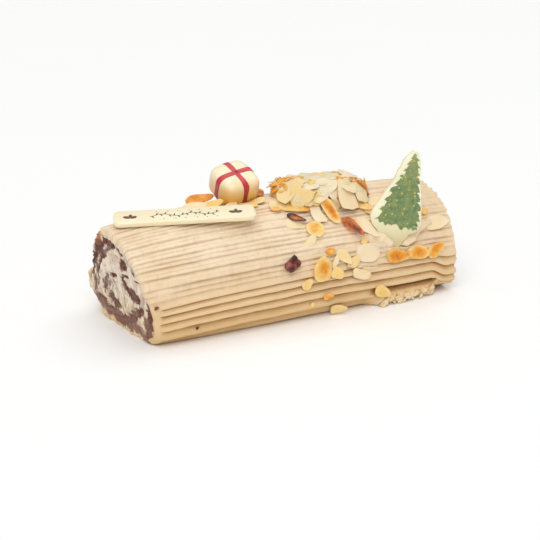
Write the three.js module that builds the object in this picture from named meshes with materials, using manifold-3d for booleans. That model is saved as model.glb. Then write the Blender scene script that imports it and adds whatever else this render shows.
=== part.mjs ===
// Yule log cake. A sheet of chocolate sponge is spread with vanilla cream and rolled up, coated with
// buttercream that a comb has drawn into ridges along the log, cut at both ends, and dressed with
// flaked almonds, a cut branch, a white chocolate plaque, a gift-shaped bonbon and a fir tree.
// Millimetres. X runs along the log, -Y is its front, Z is up and the log rests on Z = 0.

import * as THREE from 'three';
import { mergeVertices } from 'three/addons/utils/BufferGeometryUtils.js';
import Module from 'manifold-3d';

const wasm = await Module();
wasm.setup();

// ---- driving dimensions ----

const DEGREE = Math.PI / 180;
const CLEARANCE = 0.3;

// The log's section: a wide arch with upright walls, measured on the crests of the ridges.
const COAT_HALF_WIDTH = 48.5;
const COAT_TOP = 71.5;
const WIDEST_HEIGHT = 24;
const WALL_SINK = 2.7;
const CROWN_POWER = 1.9;
const WALL_POWER = 4;
const CORE_HEIGHT = 32;

// The two cut ends. The left one is cut askew and has sunk a little.
const LEFT_FACE_X = -111;
const RIGHT_FACE_X = 116;
const LEFT_CUT_YAW = 5 * DEGREE;
const LEFT_CUT_LEAN = 6 * DEGREE;
const LEAN_PIVOT_HEIGHT = 30;
const LEFT_TAPER = 0.08;
const RIGHT_TAPER = 0.03;
const STATIONS = [0, 0.03, 0.15, 0.5, 0.85, 0.97, 1];

// The roll: sponge and cream wound from the front foot over the top and round to the core.
const COAT_THICKNESS = 4.5;
const ROLL_INSET = COAT_THICKNESS + 0.8;
const SPONGE_THICKNESS = 7.5;
const TURN_PITCH = 12.5;
const STEPS_PER_TURN = 24;
const ROLL_STEPS = 61;
const DIVE_START = 0.84;
const WEDGE_STEP = 21;

// The comb's ridges: coarse on the walls, fine over the crown.
const WALL_RIDGES = 5;
const WALL_RIDGE_PITCH = 5.6;
const WALL_GROOVE_DEPTH = 0.5;
const CROWN_RIDGE_PITCH = 3.3;
const CROWN_GROOVE_DEPTH = 0.28;
const GIRTH_SAMPLES = 720;
const RIDGE_DROOP = 7 * DEGREE;
const DROOP_POWER = 6;
const SHOULDER_HEIGHT = 0.35;

// Flaked almonds: pointed ovals with a few straight sides.
const FLAKE_THICKNESS = 1.4;
const FLAKE_SIDES = 8;
const FLAKE_POINT = 0.22;
const FLAKE_RISE = 0.2;
const FLAKE_LIFT = 0.3;

// The cut branch, a low mound of buttercream covered with almond flakes.
const BRANCH_CENTRE = [31.5, -6, 68];
const BRANCH_HALF_SIZE = [32, 19, 13.5];
const BRANCH_POWERS = [0.8, 0.7];
const BRANCH_GAP = 0.4;
const BRANCH_FLAKES = 28;
const BRANCH_FLAKE_LENGTHS = [11, 15];
const BRANCH_FLAKE_WIDTHS = [8, 10];
const BRANCH_FLAKE_TIPS = [8, 22];
const BRANCH_SEED = 11;
const GOLDEN_ANGLE = 2.39996;

// The gift bonbon, a soft-cornered box leaning to the front.
const GIFT_CENTRE = [-27, 5, 82.2];
const GIFT_HALF_SIZE = [13.2, 13.2, 9.5];
const GIFT_LEAN = 28 * DEGREE;
const GIFT_YAW = 6 * DEGREE;
const GIFT_ROLL = -6 * DEGREE;
const GIFT_POWER = 4.5;

// The plaque, a moulded bar with round corners.
const PLAQUE_LENGTH = 86;
const PLAQUE_WIDTH = 15;
const PLAQUE_THICKNESS = 3;
const PLAQUE_CORNER = 4;
const PLAQUE_BEVEL = 0.6;
const PLAQUE_CENTRE = [-70.8, -13.9, 70.4];
const PLAQUE_YAW = -19.5 * DEGREE;
const PLAQUE_TILT = 16 * DEGREE;
const PLAQUE_PITCH = 0.5 * DEGREE;

// The fir tree, a thin moulded figure that stands in the coat.
const TREE_FOOT = [61, -43.5, 41];
const TREE_LEAN = 15 * DEGREE;
const TREE_YAW = -15 * DEGREE;
const TREE_HALF_WIDTH = 18.6;
// Heights over the foot and shares of the half-width: widest tips, waist, shoulder, neck and top.
const TREE_SIDE = [[15, 1], [21, 0.72], [30, 0.62], [43, 0.42], [62, 0.12]];
const TREE_FLARE = 8;
const TREE_FLARE_HEIGHT = 4;
const TREE_STEM_HALF_WIDTH = 6;
const TREE_STEM_OFFSET = 4;
const TREE_BURIED = 5;
const TREE_THICKNESS = 3;
const TREE_LIP_HALF_SIZE = [13, 3.8, 4.5];
const TREE_LIP_OFFSET = [4, -2.2, -2.5];

// The dark praline chip stuck to the front.
const CHIP_PLACE = [-15, 173];
const CHIP_HALF_SIZE = [4.8, 6.2, 3.2];
const CHIP_ROUGHNESS = 0.3;
const CHIP_SEAT = 0.55;
const CHIP_SEED = 5;

// ---- shared tools ----

function seededRandom(seed) {
  let state = seed >>> 0;
  return () => {
    state = (state + 0x6d2b79f5) >>> 0;
    let mixed = Math.imul(state ^ (state >>> 15), 1 | state);
    mixed = (mixed + Math.imul(mixed ^ (mixed >>> 7), 61 | mixed)) ^ mixed;
    return ((mixed ^ (mixed >>> 14)) >>> 0) / 4294967296;
  };
}

function solidFrom(geometry) {
  const bare = geometry.clone();
  bare.deleteAttribute('normal');
  bare.deleteAttribute('uv');
  const merged = mergeVertices(bare, 1e-4);
  return new wasm.Manifold(new wasm.Mesh({
    numProp: 3,
    vertProperties: new Float32Array(merged.attributes.position.array),
    triVerts: new Uint32Array(merged.index.array),
  }));
}

function geometryFrom(solid) {
  const mesh = solid.getMesh();
  const geometry = new THREE.BufferGeometry();
  geometry.setAttribute('position', new THREE.BufferAttribute(new Float32Array(mesh.vertProperties), 3));
  geometry.setIndex(new THREE.BufferAttribute(new Uint32Array(mesh.triVerts), 1));
  return geometry;
}

function mapVertices(geometry, place) {
  const position = geometry.attributes.position;
  const point = new THREE.Vector3();
  for (let i = 0; i < position.count; i++) {
    point.fromBufferAttribute(position, i);
    const moved = place(point);
    position.setXYZ(i, moved.x, moved.y, moved.z);
  }
  return geometry;
}

// ---- the log's form ----

function isInsideOutline(y, z, inset) {
  if (z < 0) return false;
  const aboveWidest = z > WIDEST_HEIGHT;
  const halfHeight = aboveWidest ? COAT_TOP - WIDEST_HEIGHT - inset : WIDEST_HEIGHT + WALL_SINK;
  const power = aboveWidest ? CROWN_POWER : WALL_POWER;
  const across = Math.abs(y) / (COAT_HALF_WIDTH - inset);
  const up = Math.abs(z - WIDEST_HEIGHT) / halfHeight;
  return across ** power + up ** power < 1;
}

// The distance from the core to the section's outline in one direction, with the outline drawn in by inset.
function outlineReach(angle, inset) {
  let near = 0;
  let far = 2 * COAT_TOP;
  for (let i = 0; i < 40; i++) {
    const middle = (near + far) / 2;
    const inside = isInsideOutline(middle * Math.cos(angle), CORE_HEIGHT + middle * Math.sin(angle), inset);
    if (inside) near = middle;
    else far = middle;
  }
  return near;
}

// The direction of the front foot, seen from the core; the back foot mirrors it.
function footAngle(inset) {
  const rise = (WIDEST_HEIGHT / (WIDEST_HEIGHT + WALL_SINK)) ** WALL_POWER;
  const footHalfWidth = (COAT_HALF_WIDTH - inset) * (1 - rise) ** (1 / WALL_POWER);
  return Math.PI + Math.atan2(CORE_HEIGHT, footHalfWidth);
}

function sectionPoint(angle, reach) {
  return new THREE.Vector2(reach * Math.cos(angle), Math.max(0, CORE_HEIGHT + reach * Math.sin(angle)));
}

// A point of the section, carried to its share of the way from the left cut to the right one.
function onLog(y, z, share) {
  const along = 2 * share - 1;
  const taper = along < 0 ? LEFT_TAPER : RIGHT_TAPER;
  const size = 1 - taper * Math.abs(along) ** 3;
  const skew = Math.tan(LEFT_CUT_YAW) * y * size + Math.tan(LEFT_CUT_LEAN) * (z * size - LEAN_PIVOT_HEIGHT);
  const left = LEFT_FACE_X - skew;
  return new THREE.Vector3(left + (RIGHT_FACE_X - left) * share, y * size, z * size);
}

// Draws a section shape out along the log; place gives each of its points for a share of the length.
function alongLog(outline, place) {
  const lengthSteps = STATIONS.length - 1;
  const geometry = new THREE.ExtrudeGeometry(new THREE.Shape(outline), {
    depth: lengthSteps,
    steps: lengthSteps,
    bevelEnabled: false,
  });
  return mapVertices(geometry, (point) => place(point.x, point.y, STATIONS[Math.round(point.z)]));
}

// ---- the roll ----

const ROLL_START = footAngle(ROLL_INSET);

function rollAngle(step) {
  return ROLL_START - (2 * Math.PI * step) / STEPS_PER_TURN;
}

// How far the sheet lies in from the roll's outline: it dives by one pitch along the floor in each turn.
function windingDepth(step) {
  const turns = Math.max(0, step) / STEPS_PER_TURN;
  const dive = THREE.MathUtils.smoothstep(turns % 1, DIVE_START, 1);
  return TURN_PITCH * (Math.floor(turns) + dive);
}

function rollPoint(step, depth) {
  const angle = rollAngle(step);
  return sectionPoint(angle, outlineReach(angle, ROLL_INSET) - depth);
}

// A run along the floor needs only its two ends.
function withoutFloorMiddles(outline) {
  const onFloor = (i) => outline.at(i % outline.length).y < 1e-6;
  return outline.filter((point, i) => !(onFloor(i - 1) && onFloor(i) && onFloor(i + 1)));
}

function spongeOutline() {
  const outer = [];
  const inner = [];
  for (let step = 0; step <= ROLL_STEPS; step++) {
    outer.push(rollPoint(step, windingDepth(step)));
    inner.unshift(rollPoint(step, windingDepth(step) + SPONGE_THICKNESS));
  }
  return withoutFloorMiddles([...outer, ...inner]);
}

// The cream fills what the sheet leaves: the wedge at the front foot, the channel and the core.
function creamOutline() {
  const endGap = 0.05;
  const coreGap = 0.15;
  const outline = [
    rollPoint(WEDGE_STEP, 0),
    rollPoint(STEPS_PER_TURN - endGap, 0),
    rollPoint(-endGap, SPONGE_THICKNESS + CLEARANCE),
  ];
  for (let step = 1; step <= ROLL_STEPS; step++) {
    outline.push(rollPoint(step, windingDepth(step) + SPONGE_THICKNESS + CLEARANCE));
  }
  outline.push(rollPoint(ROLL_STEPS + coreGap, windingDepth(ROLL_STEPS) + SPONGE_THICKNESS + CLEARANCE));
  outline.push(rollPoint(ROLL_STEPS + coreGap, windingDepth(ROLL_STEPS) - CLEARANCE));
  for (let step = ROLL_STEPS; step >= WEDGE_STEP; step--) {
    outline.push(rollPoint(step, windingDepth(step) - CLEARANCE));
  }
  return withoutFloorMiddles(outline);
}

// ---- the combed coat ----

// Lengths round the outline from the front foot over the crown to the back foot, and back to angles.
const girthAngles = [];
const girthLengths = [];
for (let i = 0; i <= GIRTH_SAMPLES; i++) {
  const foot = footAngle(0);
  const angle = THREE.MathUtils.lerp(foot, Math.PI - foot, i / GIRTH_SAMPLES);
  girthAngles.push(angle);
  const here = sectionPoint(angle, outlineReach(angle, 0));
  if (i === 0) {
    girthLengths.push(0);
  } else {
    const before = sectionPoint(girthAngles[i - 1], outlineReach(girthAngles[i - 1], 0));
    girthLengths.push(girthLengths[i - 1] + here.distanceTo(before));
  }
}
const COAT_GIRTH = girthLengths[GIRTH_SAMPLES];

function angleAtGirth(length) {
  const next = Math.max(1, girthLengths.findIndex((reached) => reached >= length - 1e-9));
  const span = girthLengths[next] - girthLengths[next - 1];
  const part = (length - girthLengths[next - 1]) / span;
  return THREE.MathUtils.lerp(girthAngles[next - 1], girthAngles[next], part);
}

function coatPoint(angle, height) {
  const inner = outlineReach(angle, COAT_THICKNESS);
  return sectionPoint(angle, THREE.MathUtils.lerp(inner, outlineReach(angle, 0), height));
}

function coatOutline() {
  const crownGirth = COAT_GIRTH - 2 * WALL_RIDGES * WALL_RIDGE_PITCH;
  const crownRidges = Math.round(crownGirth / CROWN_RIDGE_PITCH);
  const ridges = [];
  for (let i = 0; i < 2 * WALL_RIDGES + crownRidges; i++) {
    const onWall = i < WALL_RIDGES || i >= WALL_RIDGES + crownRidges;
    ridges.push({
      pitch: onWall ? WALL_RIDGE_PITCH : crownGirth / crownRidges,
      depth: onWall ? WALL_GROOVE_DEPTH : CROWN_GROOVE_DEPTH,
    });
  }
  const outline = [coatPoint(footAngle(0), 1)];
  let girth = 0;
  for (const ridge of ridges) {
    outline.push(coatPoint(angleAtGirth(girth + ridge.pitch / 2), 1 - ridge.depth));
    girth += ridge.pitch;
    outline.push(coatPoint(angleAtGirth(Math.min(girth, COAT_GIRTH)), 1));
  }
  const innerFoot = footAngle(COAT_THICKNESS);
  outline.push(coatPoint(Math.PI - innerFoot, 0));
  for (let step = STEPS_PER_TURN; step > 0; step--) {
    const angle = rollAngle(step);
    if (angle > Math.PI - innerFoot && angle < innerFoot) outline.push(coatPoint(angle, 0));
  }
  outline.push(coatPoint(innerFoot, 0));
  return outline;
}

// Towards both cuts the ridges sag down the sides, and at the cuts the coat rounds off.
function placeCoat(y, z, share) {
  const angle = Math.atan2(z - CORE_HEIGHT, y);
  const inner = outlineReach(angle, COAT_THICKNESS);
  const depth = outlineReach(angle, 0) - inner;
  const height = (Math.hypot(y, z - CORE_HEIGHT) - inner) / depth;
  const onInnerFace = height < 0.1;
  const atFoot = depth < 1 || z < 1;
  if (onInnerFace || atFoot) return onLog(y, z, share);
  const side = y < 0 ? 1 : -1;
  const sag = side * RIDGE_DROOP * Math.abs(2 * share - 1) ** DROOP_POWER * Math.min(1, z / CORE_HEIGHT);
  const steepness = Math.min(1, Math.abs(y) / COAT_HALF_WIDTH);
  const atCut = share === 0 || share === 1;
  const point = coatPoint(angle + sag * steepness, atCut ? height * SHOULDER_HEIGHT : height);
  return onLog(point.x, point.y, share);
}

// The smooth outer form of the coat, swollen by a clearance, to seat other pieces on.
function coatEnvelope(swelling) {
  const outline = [];
  for (let i = 0; i < 3 * STEPS_PER_TURN; i++) {
    const angle = (2 * Math.PI * (i + 0.5)) / (3 * STEPS_PER_TURN);
    outline.push(sectionPoint(angle, outlineReach(angle, 0) + swelling));
  }
  return solidFrom(alongLog(outline.filter((point) => point.y > 0.5), onLog));
}

// A frame on the coat's crests: X along the log, Y up the slope and Z outwards.
function frameOnCoat(x, angleDegrees) {
  const angle = angleDegrees * DEGREE;
  const share = (x - LEFT_FACE_X) / (RIGHT_FACE_X - LEFT_FACE_X);
  const at = (turn, slide) => {
    const point = sectionPoint(angle + turn, outlineReach(angle + turn, 0));
    return onLog(point.x, point.y, share + slide);
  };
  const origin = at(0, 0);
  const along = at(0, 0.002).sub(origin).normalize();
  const around = at(angle > Math.PI / 2 ? -0.002 : 0.002, 0).sub(origin).normalize();
  const outwards = along.clone().cross(around).normalize();
  if (outwards.dot(new THREE.Vector3(0, Math.cos(angle), Math.sin(angle))) < 0) outwards.negate();
  const upSlope = outwards.clone().cross(along).normalize();
  return new THREE.Matrix4().makeBasis(along, upSlope, outwards).setPosition(origin);
}

// ---- almond flakes ----

function flakeGeometry(length, width) {
  const outline = [];
  for (let i = 0; i < FLAKE_SIDES; i++) {
    const turn = (2 * Math.PI * (i + 0.5)) / FLAKE_SIDES;
    const pointed = 1 - FLAKE_POINT * Math.cos(turn);
    outline.push(new THREE.Vector2((length / 2) * Math.cos(turn), (width / 2) * Math.sin(turn) * pointed));
  }
  const flat = { depth: FLAKE_THICKNESS, bevelEnabled: false };
  return new THREE.ExtrudeGeometry(new THREE.Shape(outline), flat).translate(0, 0, -FLAKE_THICKNESS / 2);
}

// turn spins the flake in its own plane, and tip raises one end while the other stays in.
function flakeSolid(frame, flake) {
  const rise = FLAKE_RISE * flake.length * Math.sin(flake.tip * DEGREE);
  const pose = new THREE.Matrix4()
    .makeTranslation(0, 0, FLAKE_LIFT + rise)
    .multiply(new THREE.Matrix4().makeRotationZ(flake.turn * DEGREE))
    .multiply(new THREE.Matrix4().makeRotationY(-flake.tip * DEGREE));
  return solidFrom(flakeGeometry(flake.length, flake.width).applyMatrix4(pose).applyMatrix4(frame));
}

// The pieces scattered on the coat: place along the log, angle round it, length, width, turn and tip.
const COAT_FLAKES = [
  [-7, 117, 22, 7, -14, 6],
  [-1, 132, 10, 5, -30, 12],
  [14, 140, 11, 9, 20, 8],
  [25, 145, 17, 8, -68, 20],
  [9.5, 144, 12, 11, 30, 8],
  [3.5, 157, 10, 8, 60, 10],
  [35, 149, 15, 7, -48, 20],
  [43, 151, 15, 8, -50, 20],
  [8, 177, 17, 11, 82, 12],
  [18, 181, 12, 7, 70, 10],
  [15.5, 166, 11, 9, 10, 10],
  [27, 171, 14, 8, -65, 12],
  [41, 173, 16, 13, 5, 8],
  [-2, 190, 10, 7, 80, 10],
  [38, 187, 12, 8, -20, 10],
  [11, 198, 7, 5, 60, 12],
  [65, 183, 14, 8, 10, 12],
  [78, 183, 14, 7, 14, 12],
  [92, 181, 12, 7, 40, 18],
  [69, 139, 15, 8, 12, 10],
  [97, 143, 11, 6, -10, 10],
  [98, 160, 21, 8, 5, 14],
  [-52, 78, 20, 9, 8, 12],
  [-47, 98, 15, 8, -20, 8],
  [-8, 74, 11, 7, 60, 8],
];

function flakeOnCoat([x, angle, length, width, turn, tip]) {
  return flakeSolid(frameOnCoat(x, angle), { length, width, turn, tip });
}

// ---- the cut branch ----

// A point of the branch's blunt oval form, turn round it and rise up from its widest level.
function onBranch(turn, rise) {
  const blunt = (value, power) => Math.sign(value) * Math.abs(value) ** power;
  const [roundPower, levelPower] = BRANCH_POWERS;
  const level = blunt(Math.cos(rise), levelPower);
  return new THREE.Vector3(
    level * blunt(Math.cos(turn), roundPower),
    level * blunt(Math.sin(turn), roundPower),
    blunt(Math.sin(rise), roundPower),
  ).multiply(new THREE.Vector3(...BRANCH_HALF_SIZE)).add(new THREE.Vector3(...BRANCH_CENTRE));
}

function branchCore() {
  const core = new THREE.SphereGeometry(1, 16, 10);
  mapVertices(core, (point) => {
    const rise = Math.asin(THREE.MathUtils.clamp(point.y, -1, 1));
    return onBranch(Math.atan2(-point.z, point.x), rise);
  });
  return solidFrom(core);
}

// Flakes wind up the mound in a spiral of equal steps, each lying against its slope.
function branchSolid() {
  const random = seededRandom(BRANCH_SEED);
  const between = ([low, high]) => THREE.MathUtils.lerp(low, high, random());
  const [lowest, highest] = [0.24, 0.98];
  const centre = new THREE.Vector3(...BRANCH_CENTRE);
  const halfSize = new THREE.Vector3(...BRANCH_HALF_SIZE);
  let branch = branchCore();
  for (let i = 0; i < BRANCH_FLAKES; i++) {
    const rise = Math.asin(THREE.MathUtils.lerp(lowest, highest, (i + 0.5) / BRANCH_FLAKES));
    const origin = onBranch(i * GOLDEN_ANGLE + 0.5 * random(), rise);
    const outwards = origin.clone().sub(centre).divide(halfSize).divide(halfSize).normalize();
    const along = new THREE.Vector3(0, 1, 0).cross(outwards).normalize();
    const upSlope = outwards.clone().cross(along);
    const frame = new THREE.Matrix4().makeBasis(along, upSlope, outwards).setPosition(origin);
    branch = branch.add(flakeSolid(frame, {
      length: between(BRANCH_FLAKE_LENGTHS),
      width: between(BRANCH_FLAKE_WIDTHS),
      turn: 360 * random(),
      tip: between(BRANCH_FLAKE_TIPS),
    }));
  }
  return branch.subtract(coatEnvelope(BRANCH_GAP));
}

// ---- the moulded pieces ----

function giftGeometry(swelling) {
  const box = new THREE.BoxGeometry(2, 2, 2, 5, 5, 5);
  mapVertices(box, (point) => {
    const powers = point.toArray().map((value) => Math.abs(value) ** GIFT_POWER);
    const size = (powers[0] + powers[1] + powers[2]) ** (1 / GIFT_POWER);
    const [x, y, z] = GIFT_HALF_SIZE.map((half) => (half + swelling) / size);
    return new THREE.Vector3(point.x * x, point.y * y, point.z * z);
  });
  box.rotateZ(GIFT_YAW);
  box.rotateX(GIFT_LEAN);
  box.rotateY(GIFT_ROLL);
  return box.translate(...GIFT_CENTRE);
}

function plaqueGeometry() {
  const halfLength = PLAQUE_LENGTH / 2 - PLAQUE_BEVEL;
  const halfWidth = PLAQUE_WIDTH / 2 - PLAQUE_BEVEL;
  const corner = PLAQUE_CORNER - PLAQUE_BEVEL;
  const outline = new THREE.Shape();
  outline.absarc(halfLength - corner, halfWidth - corner, corner, 0, Math.PI / 2);
  outline.absarc(corner - halfLength, halfWidth - corner, corner, Math.PI / 2, Math.PI);
  outline.absarc(corner - halfLength, corner - halfWidth, corner, Math.PI, 1.5 * Math.PI);
  outline.absarc(halfLength - corner, corner - halfWidth, corner, 1.5 * Math.PI, 2 * Math.PI);
  const geometry = new THREE.ExtrudeGeometry(outline, {
    depth: PLAQUE_THICKNESS - 2 * PLAQUE_BEVEL,
    bevelThickness: PLAQUE_BEVEL,
    bevelSize: PLAQUE_BEVEL,
    bevelSegments: 1,
    curveSegments: 4,
  });
  geometry.translate(0, 0, PLAQUE_BEVEL - PLAQUE_THICKNESS / 2);
  geometry.rotateX(PLAQUE_TILT);
  geometry.rotateY(-PLAQUE_PITCH);
  geometry.rotateZ(PLAQUE_YAW);
  return geometry.translate(...PLAQUE_CENTRE);
}

// The tree's outline in its own plane, from the buried stem up: a shield-shaped foot under a slim cone.
function treeGeometry(swelling) {
  const stemRight = TREE_STEM_OFFSET + TREE_STEM_HALF_WIDTH + swelling;
  const stemLeft = TREE_STEM_OFFSET - TREE_STEM_HALF_WIDTH - swelling;
  const stemFoot = -TREE_BURIED - swelling;
  const [tips, waist, shoulder, neck, top] = TREE_SIDE.map(
    ([height, share]) => ({ height, reach: share * (TREE_HALF_WIDTH + swelling) }),
  );
  const outline = new THREE.Shape();
  outline.moveTo(stemRight, stemFoot);
  outline.quadraticCurveTo(stemRight + TREE_FLARE, TREE_FLARE_HEIGHT, tips.reach, tips.height);
  outline.quadraticCurveTo(waist.reach, waist.height, shoulder.reach, shoulder.height);
  outline.quadraticCurveTo(neck.reach, neck.height, top.reach, top.height);
  outline.lineTo(-top.reach, top.height);
  outline.quadraticCurveTo(-neck.reach, neck.height, -shoulder.reach, shoulder.height);
  outline.quadraticCurveTo(-waist.reach, waist.height, -tips.reach, tips.height);
  outline.quadraticCurveTo(stemLeft - TREE_FLARE, TREE_FLARE_HEIGHT, stemLeft, stemFoot);
  const thickness = TREE_THICKNESS + 2 * swelling;
  const plate = { depth: thickness, bevelEnabled: false, curveSegments: 4 };
  const geometry = new THREE.ExtrudeGeometry(outline, plate);
  geometry.translate(0, 0, -thickness / 2);
  geometry.rotateZ(-TREE_LEAN);
  geometry.rotateX(Math.PI / 2);
  geometry.rotateZ(TREE_YAW);
  return geometry.translate(...TREE_FOOT);
}

// A ridge of buttercream pushed up round the tree's foot.
function treeLip() {
  const lip = new THREE.SphereGeometry(1, 14, 8);
  lip.scale(...TREE_LIP_HALF_SIZE);
  lip.rotateZ(TREE_YAW);
  lip.translate(...TREE_LIP_OFFSET);
  return solidFrom(lip.translate(...TREE_FOOT));
}

function chipGeometry(swelling) {
  const random = seededRandom(CHIP_SEED);
  const bare = new THREE.IcosahedronGeometry(1, 1);
  bare.deleteAttribute('normal');
  bare.deleteAttribute('uv');
  const chip = mergeVertices(bare, 1e-4);
  mapVertices(chip, (point) => {
    const rough = 1 + CHIP_ROUGHNESS * (random() - 0.6);
    const [x, y, z] = CHIP_HALF_SIZE.map((half) => half * rough + swelling);
    return new THREE.Vector3(point.x * x, point.y * y, point.z * z);
  });
  chip.translate(0, 0, CHIP_HALF_SIZE[2] * CHIP_SEAT);
  return chip.applyMatrix4(frameOnCoat(...CHIP_PLACE));
}

// ---- the assembly ----

function addPiece(group, name, geometry, color, roughness) {
  const mesh = new THREE.Mesh(geometry, new THREE.MeshStandardMaterial({ color, roughness, metalness: 0 }));
  mesh.name = name;
  group.add(mesh);
}

let coat = solidFrom(alongLog(coatOutline(), placeCoat)).add(treeLip());
for (const flake of COAT_FLAKES) coat = coat.add(flakeOnCoat(flake));
for (const seated of [giftGeometry(CLEARANCE), treeGeometry(CLEARANCE), chipGeometry(CLEARANCE)]) {
  coat = coat.subtract(solidFrom(seated));
}

const cake = new THREE.Group();
addPiece(cake, 'sponge_roll', alongLog(spongeOutline(), onLog), 0x6b4338, 0.95);
addPiece(cake, 'cream_filling', alongLog(creamOutline(), onLog), 0xdccab0, 0.6);
addPiece(cake, 'buttercream_coat', geometryFrom(coat), 0xe6cda4, 0.65);
addPiece(cake, 'almond_branch', geometryFrom(branchSolid()), 0xe0b780, 0.6);
addPiece(cake, 'gift_bonbon', giftGeometry(0), 0xf0e2b4, 0.4);
addPiece(cake, 'message_plaque', plaqueGeometry(), 0xf3e8c4, 0.4);
addPiece(cake, 'fir_tree', treeGeometry(0), 0xf2ebcb, 0.4);
addPiece(cake, 'praline_chip', chipGeometry(0), 0x5a2a24, 0.5);

export default cake;
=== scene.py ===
import math

import bpy
import numpy as np
from mathutils import Matrix, Vector


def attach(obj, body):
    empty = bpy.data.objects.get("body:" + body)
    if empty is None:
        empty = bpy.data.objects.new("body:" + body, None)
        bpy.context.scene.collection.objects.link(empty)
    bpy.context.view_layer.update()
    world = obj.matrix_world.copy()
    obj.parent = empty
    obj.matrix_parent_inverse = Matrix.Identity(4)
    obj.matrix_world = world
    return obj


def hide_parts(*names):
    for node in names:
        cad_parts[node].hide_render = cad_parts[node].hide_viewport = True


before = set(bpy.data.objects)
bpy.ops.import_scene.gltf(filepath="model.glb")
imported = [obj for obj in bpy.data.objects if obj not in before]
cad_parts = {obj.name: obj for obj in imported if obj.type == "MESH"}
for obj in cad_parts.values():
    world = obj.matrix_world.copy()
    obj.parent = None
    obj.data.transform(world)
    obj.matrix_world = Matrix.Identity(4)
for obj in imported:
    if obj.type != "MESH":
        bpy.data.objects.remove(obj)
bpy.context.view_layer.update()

# ---------------------------------------------------------------------------------------------
# The table and the light. The log lies on a plain pale table, lit by a broad soft lamp at the
# front left, a weaker one high on the far side, and the white walls all round.

MM = 0.001
CAMERA_AZIMUTH = math.radians(-30.0)
CAMERA_ELEVATION = math.radians(18.09)
CAMERA_TARGET = Vector((0.0288, 0.0558, 0))
CAMERA_DISTANCE = 0.770
CAMERA_LENS = 70.85
TABLE_SIZE = 30
TABLE_SINK = 0.2 * MM
WALL_LIGHT = 0.40


def srgb(red, green, blue):
    """A colour as a painter's chart gives it, 0 to 255, in the linear light that shaders use."""
    parts = [value / 255 for value in (red, green, blue)]
    linear = [p / 12.92 if p <= 0.04045 else ((p + 0.055) / 1.055) ** 2.4 for p in parts]
    return (*linear, 1.0)


def fill_sockets(tree, node, values):
    """Links or sets a node's inputs, given by name or by number."""
    for key, value in values.items():
        if isinstance(value, bpy.types.NodeSocket):
            tree.links.new(value, node.inputs[key])
        else:
            node.inputs[key].default_value = value


def add_node(tree, kind, sockets=None, **settings):
    made = tree.nodes.new(kind)
    for name, value in settings.items():
        setattr(made, name, value)
    fill_sockets(tree, made, sockets or {})
    return made


def new_material(name, **sockets):
    """A material with one Principled shader, whose even values are set on its own sockets."""
    material = bpy.data.materials.new(name)
    material.use_nodes = True
    shader = material.node_tree.nodes["Principled BSDF"]
    for key, value in sockets.items():
        shader.inputs[key.replace("_", " ").title().replace("Ior", "IOR")].default_value = value
    return material, material.node_tree, shader


def object_place(tree):
    return add_node(tree, "ShaderNodeTexCoord").outputs["Object"]


def noise(tree, place, scale, detail=3.0, roughness=0.55, stretch=None):
    """Noise between 0 and 1 at so many bumps a metre; a stretch under 1 draws it out along its axis."""
    if stretch:
        place = add_node(tree, "ShaderNodeMapping", {"Vector": place, "Scale": stretch}).outputs[0]
    sockets = {"Vector": place, "Scale": scale, "Detail": detail, "Roughness": roughness}
    return add_node(tree, "ShaderNodeTexNoise", sockets).outputs[0]


def mix(tree, share, first, second):
    """A colour between two others; the node's inputs go by number, since it has several of one name."""
    return add_node(tree, "ShaderNodeMix", {0: share, 6: first, 7: second}, data_type="RGBA").outputs[2]


def set_surface(tree, shader, tone, relief=None):
    """Gives a shader its colour and, where there is one, its fine relief."""
    tree.links.new(tone, shader.inputs["Base Color"])
    if relief:
        tree.links.new(relief, shader.inputs["Normal"])


def add_shape(kind, name, **sizes):
    """Adds one of the plain mesh shapes and leaves it alone selected."""
    bpy.ops.object.select_all(action="DESELECT")
    getattr(bpy.ops.mesh, f"primitive_{kind}_add")(**sizes)
    made = bpy.context.object
    made.name = name
    return made


table = add_shape("plane", "table_top", size=TABLE_SIZE, location=(0, 0, -TABLE_SINK))
table_material, tree, shader = new_material("pale_table", roughness=0.6)
faint = noise(tree, object_place(tree), 3)
set_surface(tree, shader, mix(tree, faint, srgb(252, 252, 251), srgb(254, 254, 253)))
table.data.materials.append(table_material)


def direction_towards(bearing, height):
    """A level bearing from the front and a height above the table, both angles, as a direction."""
    level = math.cos(height)
    return Vector((level * math.sin(bearing), -level * math.cos(bearing), math.sin(height)))


def soft_sun(name, bearing, height, breadth, strength):
    """A broad, far lamp; bearing, height and breadth are in degrees."""
    lamp = bpy.data.lights.new(name, "SUN")
    lamp.angle, lamp.energy = math.radians(breadth), strength
    holder = bpy.data.objects.new(name, lamp)
    bpy.context.scene.collection.objects.link(holder)
    towards = direction_towards(math.radians(bearing), math.radians(height))
    holder.rotation_euler = towards.to_track_quat("Z", "Y").to_euler()


soft_sun("front_left_lamp", bearing=-36, height=48, breadth=52, strength=1.64)
soft_sun("overhead_lamp", bearing=120, height=74, breadth=60, strength=0.88)
world = bpy.data.worlds.new("white_wall")
world.use_nodes = True
wall = world.node_tree.nodes["Background"]
wall.inputs["Color"].default_value = (1, 1, 1, 1)
wall.inputs["Strength"].default_value = WALL_LIGHT
bpy.context.scene.world = world
bpy.context.scene.view_settings.view_transform = "Standard"

camera = bpy.data.cameras.new("studio_camera")
camera.lens = CAMERA_LENS
camera_holder = bpy.data.objects.new("studio_camera", camera)
bpy.context.scene.collection.objects.link(camera_holder)
towards_camera = direction_towards(CAMERA_AZIMUTH, CAMERA_ELEVATION)
camera_holder.location = CAMERA_TARGET + towards_camera * CAMERA_DISTANCE
camera_holder.rotation_euler = towards_camera.to_track_quat("Z", "Y").to_euler()
bpy.context.scene.camera = camera_holder

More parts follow.
